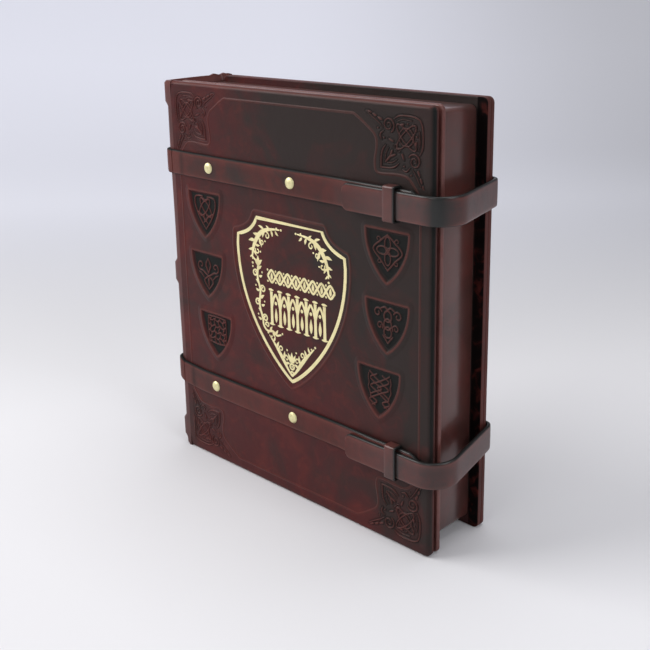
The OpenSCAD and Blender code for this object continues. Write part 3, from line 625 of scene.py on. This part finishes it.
def loft(count, around, point, closed=False):
    """A skin over count by around steps, from a grid whose vertices point(i, j) moves."""
    made = bmesh.new()
    bmesh.ops.create_grid(made, x_segments=count, y_segments=around, size=1)
    for v in made.verts:
        i = round((v.co.x + 1) / 2 * count)
        j = round((v.co.y + 1) / 2 * around)
        v.co = point(i % count if closed else i, j % around)
    return sealed(made)


quarter = curve([[u, v, 1] for u, v in border_steps], 4)[:, :2]
border_line = []
for side, end in ((1, 1), (1, 0), (-1, 0), (-1, 1)):
    turned = quarter if side * (1 if end else -1) > 0 else quarter[::-1]
    border_line += [Vector(((half_width - u) * side, book_height - v if end else v)) for u, v in turned]


def border_point(i, j):
    run = (border_line[(i + 1) % len(border_line)] - border_line[i - 1]).normalized()
    reach, rise = border_section[j]
    at = border_line[i] + Vector((-run.y, run.x)) * reach * border_half
    return spot(at.x, rise * border_out, at.y)


border = loft(len(border_line), len(border_section), border_point, closed=True)
tooled = finished(border, "tooled_border", cover_leather, "front", sharp=70)
mark(tooled, "wear_and_light", [0.38] * len(tooled.data.vertices))

# Gold foil
# Pale gold foil pressed on with a heated die: the shield's outline, leafy sprays, a climbing plant and
# two ornament rows. Each stroke is a thin flat flake with a turned edge.
foil_gold = (0.88, 0.79, 0.445, 1)
foil_deep = (0.62, 0.50, 0.24, 1)
foil_out = 0.13
gold_leaf, shader, start, place = new_finish("gold_leaf")
tarnish = place.cloud(14, 4, 0.4).mask(0.45, 0.75) * 0.45 + place.cloud(1.6, 3).mask(0.60, 0.74) * 0.35
feed(shader, Base_Color=tarnish.between(foil_gold, foil_deep), Metallic=0.9,
     Roughness=place.cloud(6, 3) * 0.16 + 0.30, Normal=(place.cloud(2.4, 3) * 0.05).as_bump())


def flake(strokes):
    """Flat strokes of foil, each a ribbon of its own width, joined in one mesh."""
    whole = bmesh.new()
    for number, line in enumerate(strokes):
        run = np.gradient(line[:, :2], axis=0)
        run /= np.maximum(np.hypot(run[:, 0], run[:, 1]), 1e-9)[:, None]
        level = foil_out + 0.0006 * (number % 40)

        def point(i, j, line=line, run=run, level=level):
            reach = (-1, -0.86, 0.86, 1, 0.86, -0.86)[j] * line[i, 2]
            out = (level - 0.06, level, level, level - 0.06, -0.25, -0.25)[j]
            return spot(line[i, 0] - run[i, 1] * reach, out, line[i, 1] + run[i, 0] * reach)
        closed = np.hypot(*(line[0, :2] - line[-1, :2])) < 1e-6
        mesh = meshed(loft(len(line) - 1, 6, point, closed=closed), "stroke")
        whole.from_mesh(mesh)
        bpy.data.meshes.remove(mesh)
    return whole


def blob(x, z, r):
    """A round dot of foil."""
    t = np.linspace(-1, 1, 9)
    return np.stack([x + t * r, np.full(9, z), r * np.sqrt(1.0001 - t * t)], 1)


def leaf(x0, z0, x1, z1, wide, bow=0.0):
    """A pointed leaf from one place to another, bowed to its left."""
    t = np.linspace(0, 1, 11)
    swell = bow * 4 * t * (1 - t)
    long = math.hypot(x1 - x0, z1 - z0)
    x = x0 + (x1 - x0) * t - (z1 - z0) / long * swell
    z = z0 + (z1 - z0) * t + (x1 - x0) / long * swell
    return np.stack([x, z, 0.12 + wide * np.sin(np.pi * t ** 0.8)], 1)


outline_half = 1.45
outline_line = gold_outline(-1.4)
outline_line = np.vstack([outline_line, outline_line[:1]])
gold_strokes = [np.column_stack([outline_line, np.full(len(outline_line), outline_half)])]
shoulder_spray = [
    curve([[12, 225.4, 0.5], [20, 224.8, 1.1], [28, 223.0, 1.9], [34.6, 219.4, 2.3], [39.6, 213.4, 2.3],
        [43, 206.6, 1.8], [44.4, 200.6, 1.1], [44.6, 196.6, 0.6]]),
    coil(26.6, 218.6, 2.7, 0.9, 80, 420, 0.8, 0.6), coil(33, 212.6, 3.0, 0.9, 60, -300, 0.85, 0.6),
    coil(38.4, 204.6, 2.6, 0.9, 40, -290, 0.8, 0.6), leaf(17, 224, 13.4, 220.6, 1.1, 0.5),
    leaf(22, 223.4, 20.4, 218.8, 1.3, -0.5), leaf(29.4, 221.6, 31.6, 216.4, 1.4, 0.6),
    leaf(36.6, 216, 33.4, 208.2, 1.4, -0.6), leaf(40.6, 209.6, 35.4, 209.4, 1.2, 0.6),
    leaf(43, 204, 39.8, 199.8, 1.2, -0.5), leaf(44, 199, 40.8, 195.8, 0.9, 0.3),
    leaf(30, 223, 36.4, 225.4, 1.2, 0.5), leaf(36.8, 218.6, 42.8, 218.4, 1.5, -0.6),
    leaf(41, 212.6, 48.4, 211.6, 1.6, 0.6), leaf(43.6, 206, 48.8, 204.4, 1.2, -0.5),
    leaf(24, 224.6, 27.4, 226.8, 0.9), leaf(45, 200, 47.4, 197.8, 0.8), blob(10.4, 225.6, 1.1),
    blob(44.6, 193.6, 1.2), blob(44.6, 190.6, 0.9), blob(15.6, 226.2, 0.9), blob(29, 213.8, 0.9),
    blob(35, 204.2, 0.9)]
foot_spray = [
    curve([[-29.4, 129.4, 0.5], [-23.6, 124.2, 1.2], [-17, 118, 2.0], [-10.4, 110.6, 2.0],
        [-5, 104.4, 1.3], [0, 100.6, 1.4]]), coil(-14.2, 120.6, 2.6, 0.9, 200, -150, 0.8, 0.6),
    coil(-7.2, 114.2, 2.7, 0.9, 190, -170, 0.8, 0.6), leaf(-24, 125, -21.6, 129.4, 1.2, -0.4),
    leaf(-19, 120.6, -16.8, 126, 1.3, 0.5), leaf(-11.4, 112.6, -9.8, 119.6, 1.4, -0.5),
    leaf(-8.6, 109, -3, 110.6, 1.3, 0.5), leaf(-2.4, 111.4, -5.4, 119, 1.5, -0.6),
    blob(-30.6, 131, 1.2), blob(-26, 128.6, 1.0), blob(-6.4, 121.2, 1.0)]
for spray, narrowed, shift in ((shoulder_spray, 1.0, [-2.2, -2.0, 0]), (foot_spray, 0.88, [0.4, 5.0, 0])):
    gold_strokes += mirrored([line * [narrowed, 1, 0.82] + shift for line in spray])
gold_strokes += [
    coil(0, 107.4, 1.7, 1.7, 0, 360, 0.7, 0.7), coil(0, 113.4, 2.3, 2.3, 0, 360, 0.8, 0.8),
    leaf(0, 115.6, 0, 125.4, 1.6), blob(0, 113.4, 0.9)]

# The climbing plant beside the rows, from its stem's middle
stem_x = -36.0
plant = [
    curve([[0, 191, 1.1], [-1.2, 181, 1.1], [1.6, 170, 1.1], [0.2, 158, 1.1], [3.4, 147, 1.1],
        [4.4, 141, 1.0], [8.6, 137.4, 1.0], [14.6, 138.2, 1.1], [19.6, 135.8, 1.0],
        [24.6, 137.4, 0.6]])]
for k in range(4):
    side = 1 if k % 2 else -1
    top = 187 - 12 * k
    at = 0.9 * k
    plant += [coil(at + side * 3.7, top - 3.4, 3.1, 0.9, 90 + side * 80, 90 - side * 380, 0.75, 0.6),
              leaf(at + side * -0.6, top, at + side * -4.2, top + 3.4, 1.1, side * -0.7),
              leaf(at + side * -0.4, top - 5, at + side * -4.4, top - 4, 1.0, side * 0.7),
              blob(at + side * -4.4, top - 1.6, 0.8)]
plant += [
    leaf(0, 190, 0, 198.6, 1.7), leaf(-0.4, 190, -4.8, 195.6, 1.4, -0.9),
    leaf(0.4, 190, 4.8, 195.6, 1.4, 0.9), coil(8.6, 142.4, 2.4, 0.8, 200, -200, 0.7, 0.6),
    leaf(12, 138, 14.6, 142, 1.0, 0.5), leaf(17.4, 137, 20.8, 140.6, 1.0, -0.5),
    leaf(15, 138, 17.6, 133.6, 1.0, -0.5), blob(26, 138.4, 0.9)]
gold_strokes += [line + [stem_x, 0, 0] for line in plant]

# The row of linked lozenges and the row of pillared arches
row_from, row_at, row_step = -25, 184.4, 4.6
for sign in (1, -1):
    wave = [[row_from + row_step * k, row_at + sign * 5.0 * math.sin(math.pi * k / 2), 1.05]
            for k in range(17)]
    gold_strokes.append(curve(wave, 4))
for k in range(8):
    x = row_from + 2 * row_step * k
    gold_strokes += [leaf(x + row_step, row_at - 3.2, x + row_step, row_at + 3.2, 1.3),
                     blob(x, row_at - 4.6, 0.9), blob(x, row_at + 4.6, 0.9)]
pillar_from, pillar_step = -21.5, 9.8
for k in range(7):
    x = pillar_from + pillar_step * k
    gold_strokes += [curve([[x, 145, 1.6], [x, 155, 1.4], [x, 166, 1.4], [x, 171.6, 1.6]]),
                     leaf(x - 3.4, 144.4, x + 3.4, 144.4, 0.9), leaf(x - 3, 173, x + 3, 173, 1.0)]
    if k < 6:
        x += pillar_step / 2
        gold_strokes += [curve([[x + side * 4.3, 159, 0.8], [x + side * 2.5, 166, 1.1], [x, 170.2, 1.0]])
                         for side in (-1, 1)]
        gold_strokes += [leaf(x, 146.6, x, 158.4, 1.5), blob(x, 162.6, 1.5)]
finished(flake(gold_strokes), "gold_ornament", gold_leaf, "front", ["gold_foil"], sharp=50)

# Front cover's inner board
# A second leather-covered board behind the embossed one: its core is set back, so that a groove runs
# round the edge, and its lip comes out flush again. Paper is pasted down inside it. The core's leather is
# painted near black for the shade in the groove, and the lip's leather is painted lighter for the light
# it catches.
board_leather = leather("board_leather", (0.021, 0.0075, 0.0065, 1), patches=0.5, gloss=0.42, shine=0.12)
lip_lit_leather = leather("lip_lit_leather", (0.150, 0.0560, 0.0480, 1), patches=0.4, gloss=0.36, shine=0.4)
lining_low, lining_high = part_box("front_lining")
lip = 3.3 * MM
groove = 4.0 * MM
core_corner = 3.5 * MM
soft_edge = 0.3 * MM
core = block(Vector((lining_low.x + groove, lining_low.y, groove)),
             Vector((lining_high.x - groove, lining_high.y - lip / 2, lining_high.z - groove)),
             core_corner, soft_edge, soft_edge, 3)
finished(core, "front_lining_core", board_leather, "front", flat_faces=True)
lining = block(Vector((lining_low.x, lining_high.y - lip, 0)), lining_high, board_corner * MM,
               1.4 * MM, 0.8 * MM)
finished(lining, "front_lining_lip", lip_lit_leather, "front", ["front_lining"], flat_faces=True)

# Straps
# Strips of thick harness leather, cut, creased along both edges and burnished. The short one is riveted
# to the cover; the long belt goes round the spine and the back, bows out at the fore-edge and ends in a
# tongue, tucked through the keeper.
strap_leather = leather("strap_leather", (0.078, 0.0200, 0.0168, 1), patches=1.3, shade=0.3, gloss=0.36,
                        grain=1.1, shine=0.15, handled=0.60)
strap_wide = 20.4
seat = 0.3
half_thick = 33.5
fold = -half_width + 2
tongue_in = 76.0
tongue_lift = 4.3
tongue_round = 5.0
tip_long = 9.0
keeper_room = 1.7
shoulder_out = 5.4
shoulder_round = 4.6
spine_bulge = 3.0
fold_share = 0.36
fold_run = 26.0
# Painted shade in the belt's bow: where along it, how wide, and over which front part of its depth.
bow_shade_at = 147.0
bow_shade_wide = 7.0
bow_shade_front = (25, 31)
# A darker band across the straps just before the joint, and lighter leather where they turn round it.
fold_mark = -124.5
fold_mark_wide = 2.2
fold_band_dark = 0.45
joint_lighter = 0.55
joint_bend = (125.5, 130)
# A painted shadow of the keeper on the straps beside its right end: its width, and how far right of it.
keeper_shadow_wide = 1.5
keeper_shadow_out = 0.9
strap_section = [
    (-1, 0, 0.35), (-1, 0, 1.2), (-1, 0.12, 1.9), (-1, 0.45, 2.32), (-1, 1.0, 2.53), (-1, 1.8, 2.62),
    (-1, 3.4, 2.68), (-1, 7, 2.72)]
strap_loop = strap_section + [(1, back, out) for _, back, out in strap_section[::-1]]
strap_loop += [(1, 0.35, 0), (-1, 0.35, 0)]
edge_wear = [0, 0, 0, 0.5, 0.9, 0.3, 0, 0, 0, 0.3, 0.8, 0.3, 0, 0, 0, 0, 0, 0]
# The cut edges are dyed black, and the same black on the edges and on the inner face also paints the shade
# of the gap above the strap and inside the bow.
edge_dye_and_shade = [1, 1, 1, 0.7, 0, 0, 0, 0, 0, 0, 0, 0.5, 1, 1, 1, 1, 1, 1]


def fillet(before, corner, after, radius, count):
    """The arc of that radius which rounds a corner of a route."""
    u = (before - corner).normalized()
    v = (after - corner).normalized()
    angle = u.angle(v)
    centre = corner + (u + v).normalized() * radius / math.sin(angle / 2)
    first = corner + u * radius / math.tan(angle / 2) - centre
    turn = math.pi - angle
    side = 1 if (corner - before).cross(after - corner) > 0 else -1
    return [centre + Matrix.Rotation(side * turn * k / count, 2) @ first for k in range(count + 1)]


def route(corners, count):
    """A path in plan through corner points (x, y, radius), in millimetres."""
    flat = [Vector(c[:2]) for c in corners]
    path = [flat[0]]
    for k in range(1, len(corners) - 1):
        path += fillet(flat[k - 1], flat[k], flat[k + 1], corners[k][2], count)
    return path + [flat[-1]]


def even(path, step):
    """The same path with points no further apart than step."""
    out = [path[0]]
    for a, b in zip(path, path[1:]):
        count = max(1, math.ceil((b - a).length / step))
        out += [a.lerp(b, k / count) for k in range(1, count + 1)]
    return out


def across_at(path, i):
    """The direction across a path at one of its points, to the left of its run."""
    run = (path[min(i + 1, len(path) - 1)] - path[max(i - 1, 0)]).normalized()
    return Vector((-run.y, run.x))


def bell(value, top, wide):
    """1 at the top, next to nothing at twice its width away from it."""
    return math.exp(-((value - top) / wide) ** 2)


def in_book(x, y, z):
    """A place in the frame: x from the cover's middle, y from half the book's thickness, z from the tail."""
    return Vector((middle + x * MM, face + (y + half_thick) * MM, z * MM))


def strap(name, path, height, body, stands_for, outward, lift, narrowed, up, keeper_shadow_x, oiled=0.0):
    """A strap whose inner face follows a path in plan: narrowed gives its share of the full width that far
    from its end, up how much higher its middle lies at a point of the path, and the last argument how dark
    the painted shade in its bow is. A painted shadow lies beside the keeper's right end."""
    along = [0.0]
    for a, b in zip(path, path[1:]):
        along.append(along[-1] + (b - a).length)
    marks = {}

    def point(i, j):
        side, back, thick = strap_loop[j]
        at = path[i] + across_at(path, i) * outward * (lift + thick)
        half_wide = (strap_wide / 2 - back) * narrowed(along[-1] - along[i])
        place = in_book(at.x, at.y, height + up(path[i]) + side * half_wide)
        # Darker in a band just before the joint.
        darkened = fold_band_dark * bell(at.x, fold_mark, fold_mark_wide)
        # Painted shade darkens the bow at its bend, and a painted shadow lies beside the keeper's right end.
        if at.x > half_width - 30:
            darkened += oiled * bell(at.x, bow_shade_at, bow_shade_wide) * float(smooth(-at.y, *bow_shade_front))
        if at.y < -half_thick / 2:
            darkened += bell(at.x, keeper_shadow_x, keeper_shadow_wide)
        wear = max(edge_wear[j], joint_lighter * float(smooth(-at.x, *joint_bend)))
        marks[tuple(round(c * 1e5) for c in place)] = (wear, max(edge_dye_and_shade[j], min(darkened, 1)))
        return place
    made = loft(len(path) - 1, len(strap_loop), point)
    found = [marks.get(tuple(round(c * 1e5) for c in v.co), (0.0, 0.0)) for v in made.verts]
    piece = finished(made, name, strap_leather, body, stands_for, sharp=50)
    mark(piece, "wear_and_light", [m[0] for m in found])
    mark(piece, "hollow", [m[1] for m in found])


def front_route():
    start = half_width - tongue_in
    lifted = -half_thick - keeper_room
    return route([(fold + 0.15, -half_thick, 0), (start - 12, -half_thick, 60), (start + 22, lifted, 60),
                  (half_width - 6, lifted, 0)], 6)


def spine_route(out):
    shoulder = -half_width - shoulder_out - out
    return route([(fold + 0.01, -half_thick, 0), (shoulder, -half_thick, shoulder_round),
                  (shoulder - spine_bulge, 0, 5 * half_thick), (shoulder, half_thick, shoulder_round),
                  (fold, half_thick, 0)], 6)


def belt_route(bow):
    front = -half_thick - tongue_lift
    bowed = route([(fold, half_thick, 0), (half_width + 2.4, half_thick, 4.6), (half_width + bow, front, 17),
                   (half_width - tongue_in, front, 0)], 12)
    return [p for p in spine_route(0) if p.y < half_thick - 0.01] + bowed


def tipped(path):
    """The path in short steps, with shorter ones where the strap narrows."""
    path = even(path, 1.8)
    return path[:-8] + even(path[-8:], 0.8)


def pointed(left):
    return 1.0 if left > tip_long else 0.24 + 0.76 * (left / tip_long) ** 0.55


def rounded(left):
    return 1.0 if left > tongue_round else 0.5 + 0.5 * math.sqrt(1 - (1 - left / tongue_round) ** 2)


strap_heights = {"upper": 262.8, "lower": 71.2}
bows = {"upper": 18.5, "lower": 14.0}
rises = {"upper": 0.6, "lower": 5.0}
drops = {"upper": 1.2, "lower": 2.2}
for where, height in strap_heights.items():
    rise, drop = rises[where], drops[where]
    # The painted shadow of this keeper lies just right of it.
    keeper_shadow_at = (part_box(f"{where}_keeper")[1].x - middle) / MM + keeper_shadow_out

    def front_up(p, rise=rise):
        return rise * fold_share * max(0, 1 - (p.x - fold) / fold_run)

    def belt_up(p, rise=rise, drop=drop):
        if p.x < 0 and p.y < 0:
            return rise * min(1, fold_share + (fold - p.x) / shoulder_out * (1 - fold_share))
        if p.x < half_width and p.y > 0:
            return rise
        return rise - (rise + drop) * max(0, half_thick - p.y) / (2 * half_thick + tongue_lift)
    strap(f"{where}_riveted_strap", tipped(front_route()), height, "front", [f"{where}_front_strap"],
          outward=-1, lift=0, narrowed=pointed, up=front_up, keeper_shadow_x=keeper_shadow_at)
    # The upper belt's bow gets more painted shade than the lower one's.
    strap(f"{where}_belt_strap", tipped(belt_route(bows[where])), height, "book", [f"{where}_belt"],
          outward=1, lift=seat, narrowed=rounded, up=belt_up, keeper_shadow_x=keeper_shadow_at,
          oiled=1.15 if where == "upper" else 0.3)

# Keepers
# A short band of thinner leather, closed into a loop round both straps and glued at the back, which
# holds the tongue down. Its edges are rubbed round, and its right-hand end is painted black for the shade
# in the loop's opening.
keeper_corner = 1.8
keeper_wear = 0.35
keeper_shade_from = 9.6
band_section = [
    (0, 0.12), (0.25, 0), (2, -0.08), (5, -0.12), (8, -0.08), (9.75, 0), (10, 0.12), (10, 1.28),
    (9.75, 1.4), (0.25, 1.4), (0, 1.28)]
for where in strap_heights:
    low, high = (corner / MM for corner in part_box(f"{where}_keeper"))
    loop = []
    for dy, dz, start in ((1, 1, 0), (-1, 1, 90), (-1, -1, 180), (1, -1, 270)):
        pivot = Vector((high.y - keeper_corner if dy > 0 else low.y + keeper_corner,
                        high.z - keeper_corner if dz > 0 else low.z + keeper_corner))
        loop += [(pivot, math.radians(start + 15 * k)) for k in range(7)]

    def keeper_point(i, j, low=low, loop=loop):
        pivot, angle = loop[i]
        across, deep = band_section[j]
        out = Vector((math.cos(angle), math.sin(angle))) * (keeper_corner - deep)
        return Vector((low.x + across, pivot.x + out.x, pivot.y + out.y)) * MM
    made = loft(len(loop), len(band_section), keeper_point, closed=True)
    banded = finished(made, f"{where}_keeper_loop", strap_leather, "front",
                      [f"{where}_keeper"], sharp=50)
    mark(banded, "wear_and_light", [keeper_wear] * len(banded.data.vertices))
    # Painted shade: the keeper's right-hand end is marked black.
    mark(banded, "hollow", [float(v.co.x > low.x * MM + keeper_shade_from * MM) for v in banded.data.vertices])

# Rivets
# Solid brass, its domed cap set over the shank on the strap's face. The thin plating is a pale gold,
# dull round the rim. The disc at the other end is let into the board.
brass = (0.80, 0.74, 0.42, 1)
brass_dull = (0.52, 0.45, 0.22, 1)
dome_share = 0.96
rim_share = 0.22
rivet_brass, shader, start, place = new_finish("rivet_brass")
dull = place.cloud(3.2, 4, 0.3).mask(0.48, 0.72) * 0.6
feed(shader, Base_Color=dull.between(brass, brass_dull), Metallic=0.85,
     Roughness=place.cloud(1.5, 3) * 0.2 + 0.34, Normal=(place.cloud(1.3, 3) * 0.05).as_bump())


def dress(node, finish):
    """Gives a solid that shows as it is its real finish."""
    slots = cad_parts[node].data.materials
    slots.clear()
    slots.append(finish)


for where in strap_heights:
    for spot_name in ("spine", "middle"):
        rivet = f"{where}_{spot_name}_rivet"
        low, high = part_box(f"{rivet}_cap")
        radius = (high.x - low.x) / 2
        rise = high.y - low.y
        centre = Vector(((low.x + high.x) / 2, high.y, (low.z + high.z) / 2))
        made = bmesh.new()
        dome = [(radius * dome_share, 0), (radius, -0.10 * rise), (radius * 0.985, -rim_share * rise)]
        dome += [(radius * dome_share * math.cos(a), -rise * (rim_share + (1 - rim_share) * math.sin(a)))
                 for a in (math.radians(d) for d in range(10, 90, 13))] + [(0, -rise)]
        verts = [made.verts.new(centre + Vector((r, y, 0))) for r, y in dome]
        edges = [made.edges.new(pair) for pair in zip(verts, verts[1:])]
        bmesh.ops.spin(made, geom=verts + edges, cent=centre, axis=(0, 1, 0), angle=math.tau, steps=32,
                       use_merge=True)
        finished(sealed(made), f"{rivet}_dome", rivet_brass, "front", [f"{rivet}_cap"],
                 sharp=50)
        dress(f"{rivet}_post", rivet_brass)

# Spine
# Leather over card, bulging a little, with three cords under it that stand up as raised bands. Two
# creases beside the back cover let it flex and pinch small lumps into the head cap; its tail corner is
# worn round.
spine_leather = leather("spine_leather", (0.100, 0.0330, 0.0310, 1), patches=0.7, gloss=0.40, shine=0.3)
spine_thick = 3.4
bands = [(6.0, 29.0), (153.5, 176.5), (309.0, 332.0)]
band_slope = 4.0
band_out = 3.2
crease_places = (25.9, 15.2)
cap_lumps = (30.4, 20.4)
tail_round = 12.0
cap_tall = 7.0
cap_slant = 2.2
spine_rows = 172
crease_deep = 1.3
crease_wide = 1.1
lump_wide = 2.3
end_round = 1.6
outer = even(spine_route(0), 1.4)
inner = [p + Vector((spine_thick, -math.copysign(min(abs(p.y), spine_thick), p.y))) for p in outer[3:-3]]
inner = [Vector((max(p.x, -half_width - shoulder_out + 1.2), p.y)) for p in inner][::-1]


def spine_point(i, j):
    z = book_height * i / spine_rows
    on_face = j < len(outer)
    at = outer[j] if on_face else inner[j - len(outer)]
    out = 0.0
    if on_face:
        swell = max(float(smooth(z, low, low + band_slope) * (1 - smooth(z, high - band_slope, high)))
                    for low, high in bands)
        side = float(smooth(fold - at.x, 1.2, 5.0))
        out = side * (swell * band_out + 0.2 * math.sin(z / 19))
        out -= sum(crease_deep * side * bell(at.y, crease, crease_wide) for crease in crease_places)
        out -= 0.9 * (1 - min(z, book_height - z, end_round) / end_round) ** 2
    lump = sum(bell(at.y, c, lump_wide) for c in cap_lumps) * max(0, 1 - (book_height - z) / 8)
    x = at.x - out
    if not on_face:
        x -= cap_slant * float(smooth(z, book_height - cap_tall, book_height)) * (at.y < half_thick - 4)
    if z < tail_round:
        keep = -half_width - shoulder_out - spine_bulge - band_out + tail_round
        limit = keep - math.sqrt(tail_round ** 2 - (tail_round - z) ** 2)
        x = max(x, limit + (0 if on_face else 1))
    return in_book(x, at.y, z + 1.2 * lump)


made = loft(spine_rows, len(outer) + len(inner), spine_point)
backbone = finished(made, "spine_cover", spine_leather, "book", ["spine"], sharp=50)
# The head cap is painted lighter, a painted highlight for the light on its inner face.
at = np.array([v.co for v in backbone.data.vertices]) / MM
mark(backbone, "wear_and_light", smooth(at[:, 2], book_height - cap_tall, book_height - 2))

# Back cover and its inner board
# Leather over two boards, thinner than the front pair, with turned edges and corners and no tooling. Their
# outsides and edges take a lighter, redder leather without the dark wax; the inner board's face takes the
# cover's leather, painted near black beyond the edge wall for the shade in the recess there.
back_leather = leather("back_leather", (0.092, 0.0300, 0.0260, 1), patches=0.5, gloss=0.42)
recess_shade_black = leather("recess_shade_black", (0.0045, 0.0028, 0.0028, 1), patches=0, gloss=0.6, shine=0.04)
recess_shade_from = 128.6 * MM
back_over = 1.0 * MM
for node, slot, outer_round in (("back_cover", "cover_leather", 1.8), ("back_lining", "board_leather", 1.0)):
    low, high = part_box(node)
    high.x += back_over
    made = block(low, high, board_corner * MM, back_round * MM, outer_round * MM)
    cut(made, (recess_shade_from, 0, 0), (1, 0, 0))
    boarded = finished(made, f"{node}_board", back_leather, "book", [node], flat_faces=True)
    if node == "back_lining":
        boarded.data.materials.append(cover_leather)
        boarded.data.materials.append(recess_shade_black)
        # Painted shade: the near-black strip of the inner board's face beyond the edge wall.
        for facet in boarded.data.polygons:
            if facet.normal.y < -0.7:
                facet.material_index = 2 if facet.center.x > recess_shade_from else 1

# Edge wall
# A leather-covered wall of card round the head, the fore-edge and the tail, glued to the back cover's
# inner board. It shuts the leaves in when the front cover is down.
wall_leather = leather("wall_leather", (0.092, 0.0320, 0.0270, 1), patches=0.7, gloss=0.36, grain=1.2,
                       shine=0.5, handled=0.5)
wall_low, wall_high = (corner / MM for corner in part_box("edge_wall"))
wall_thick = 3.6
wall_round = 4.6
wall_edge = 0.7
wall_path = even(route([(wall_low.x, wall_low.z, 0), (wall_high.x, wall_low.z, wall_round),
                        (wall_high.x, wall_high.z, wall_round), (wall_low.x, wall_high.z, 0)], 6), 5)
depth = wall_high.y - wall_low.y
wall_section = [
    (0.35, wall_edge), (0, wall_edge + 0.5), (0, depth / 2), (0, depth - wall_edge - 0.5),
    (0.35, depth - wall_edge), (wall_edge, depth), (wall_thick, depth), (wall_thick, 0), (wall_edge, 0)]


def wall_point(i, j):
    deep, along = wall_section[j]
    at = wall_path[i] + across_at(wall_path, i) * deep
    return Vector((at.x, wall_low.y + along, at.y)) * MM


made = loft(len(wall_path) - 1, len(wall_section), wall_point)
finished(made, "edge_wall_cover", wall_leather, "book", ["edge_wall"], sharp=50)

# Leaves
# Thick rag paper, sewn and glued into one block with a hollowed back, yellowed from the edges inwards,
# and a leaf of the same paper pasted down inside the front cover.
paper = (0.71, 0.61, 0.43, 1)
paper_brown = (0.42, 0.30, 0.16, 1)
page_paper, shader, start, place = new_finish("page_paper")
sheets = start.node("ShaderNodeMapping", (), {"Vector": place, "Scale": (25, 4200, 25)})
layers = sheets.node("ShaderNodeTexNoise", (), {"Vector": sheets, "Scale": 1.0, "Detail": 2.0})
spots = place.cloud(60, 5, 0.4).mask(0.48, 0.78) * 0.5 + place.cloud(2.0, 2).mask(0.66, 0.74) * 0.4
feed(shader, Base_Color=(spots + layers.mask(0.55, 0.7) * 0.25).between(paper, paper_brown),
     Roughness=place.cloud(4, 2) * 0.1 + 0.72, Specular_IOR_Level=0.25,
     Normal=(layers * 0.12 + place.cloud(25, 3) * 0.5).as_bump())
dress("page_block", page_paper)
margin = 7.0 * MM
pasted = block(Vector((lining_low.x + margin, lining_high.y - 0.05 * MM, margin)),
               Vector((lining_high.x - margin, lining_high.y + 0.08 * MM, lining_high.z - margin)),
               2.0 * MM, 0.01 * MM, 0.02 * MM, 2)
finished(pasted, "pasted_leaf", page_paper, "front", flat_faces=True)

# Floor and backdrop
# One pale sheet, swept up all round the book. Its far part is lit apart from the book, so a glow that only
# cameras and reflections see stands in for those lamps: brighter towards the upper left.
sheet_near = (0.75, 0.745, 0.77, 1)
sheet_far = (0.38, 0.38, 0.40, 1)
no_glow = (0, 0, 0, 1)
glow_left = (0.48, 0.49, 0.565, 1)
glow_right = (0.25, 0.254, 0.285, 1)
away_x, away_y = -0.69, 0.72
backdrop, shader, start, place = new_finish("backdrop")
reach = place.axis(1) * away_y + place.axis(0) * away_x + place.axis(2)
across = place.axis(0) * away_y - place.axis(1) * away_x
camera, glossy, through = (start.node("ShaderNodeLightPath", output=f"Is {ray} Ray")
                           for ray in ("Camera", "Glossy", "Transmission"))
glow = (reach.mask(0.25, 1.15) * 0.75 + reach.mask(0.9, 3.0) * 0.31) * (camera + glossy + through)
feed(shader, Base_Color=reach.mask(0.05, 1.0).between(sheet_near, sheet_far), Emission_Strength=1.0,
     Emission_Color=glow.between(no_glow, across.mask(-0.2, 1.0).between(glow_left, glow_right)),
     Roughness=0.85, Specular_IOR_Level=0.1)
made = bmesh.new()
bmesh.ops.create_grid(made, x_segments=80, y_segments=80, size=4.2)
sweep = 1.6
away = Vector((away_x, away_y, 0))
for v in made.verts:
    reach = v.co.length
    if not reach:
        continue
    outwards = v.co / reach
    level = 2.5 - 0.9 * max(0.0, outwards.dot(away))
    bend = max(0.0, min(reach - level, sweep * math.pi / 2)) / sweep
    flat = min(reach, level) + sweep * math.sin(bend)
    rise = sweep * (1 - math.cos(bend)) + max(0.0, reach - level - sweep * math.pi / 2)
    v.co = outwards * flat + Vector((0, 0, rise))
bmesh.ops.recalc_face_normals(made, faces=made.faces)
mesh = meshed(made, "floor")
mesh.materials.append(backdrop)
placed("floor", mesh)

# Light
# A large soft light from the upper left, a weaker one in front, one overhead, a low fill on the right
# and a dim even surround.
target = Vector((0, 0, 0.16))
for name, where_from, size, power, colour in (
        ("key", (-1.60, -1.30, 1.55), 1.7, 50, (1.0, 0.99, 0.975)),
        ("front", (0.3, -2.2, 1.1), 1.0, 8, (1.0, 0.985, 0.97)),
        ("top", (0.0, 0.3, 2.3), 1.6, 25, (0.98, 0.985, 1.0)),
        ("side", (1.8, -0.15, 1.3), 1.0, 13, (0.97, 0.98, 1.0))):
    lamp = bpy.data.lights.new(name, "AREA")
    lamp.size = size
    lamp.energy = power
    lamp.color = colour
    lamp_object = placed(name, lamp)
    lamp_object.location = where_from
    lamp_object.rotation_euler = (target - Vector(where_from)).to_track_quat("-Z", "Y").to_euler()
world = bpy.data.worlds.new("surround")
world.use_nodes = True
feed(world.node_tree.nodes["Background"], Color=(0.84, 0.85, 0.90, 1), Strength=0.18)
bpy.context.scene.world = world
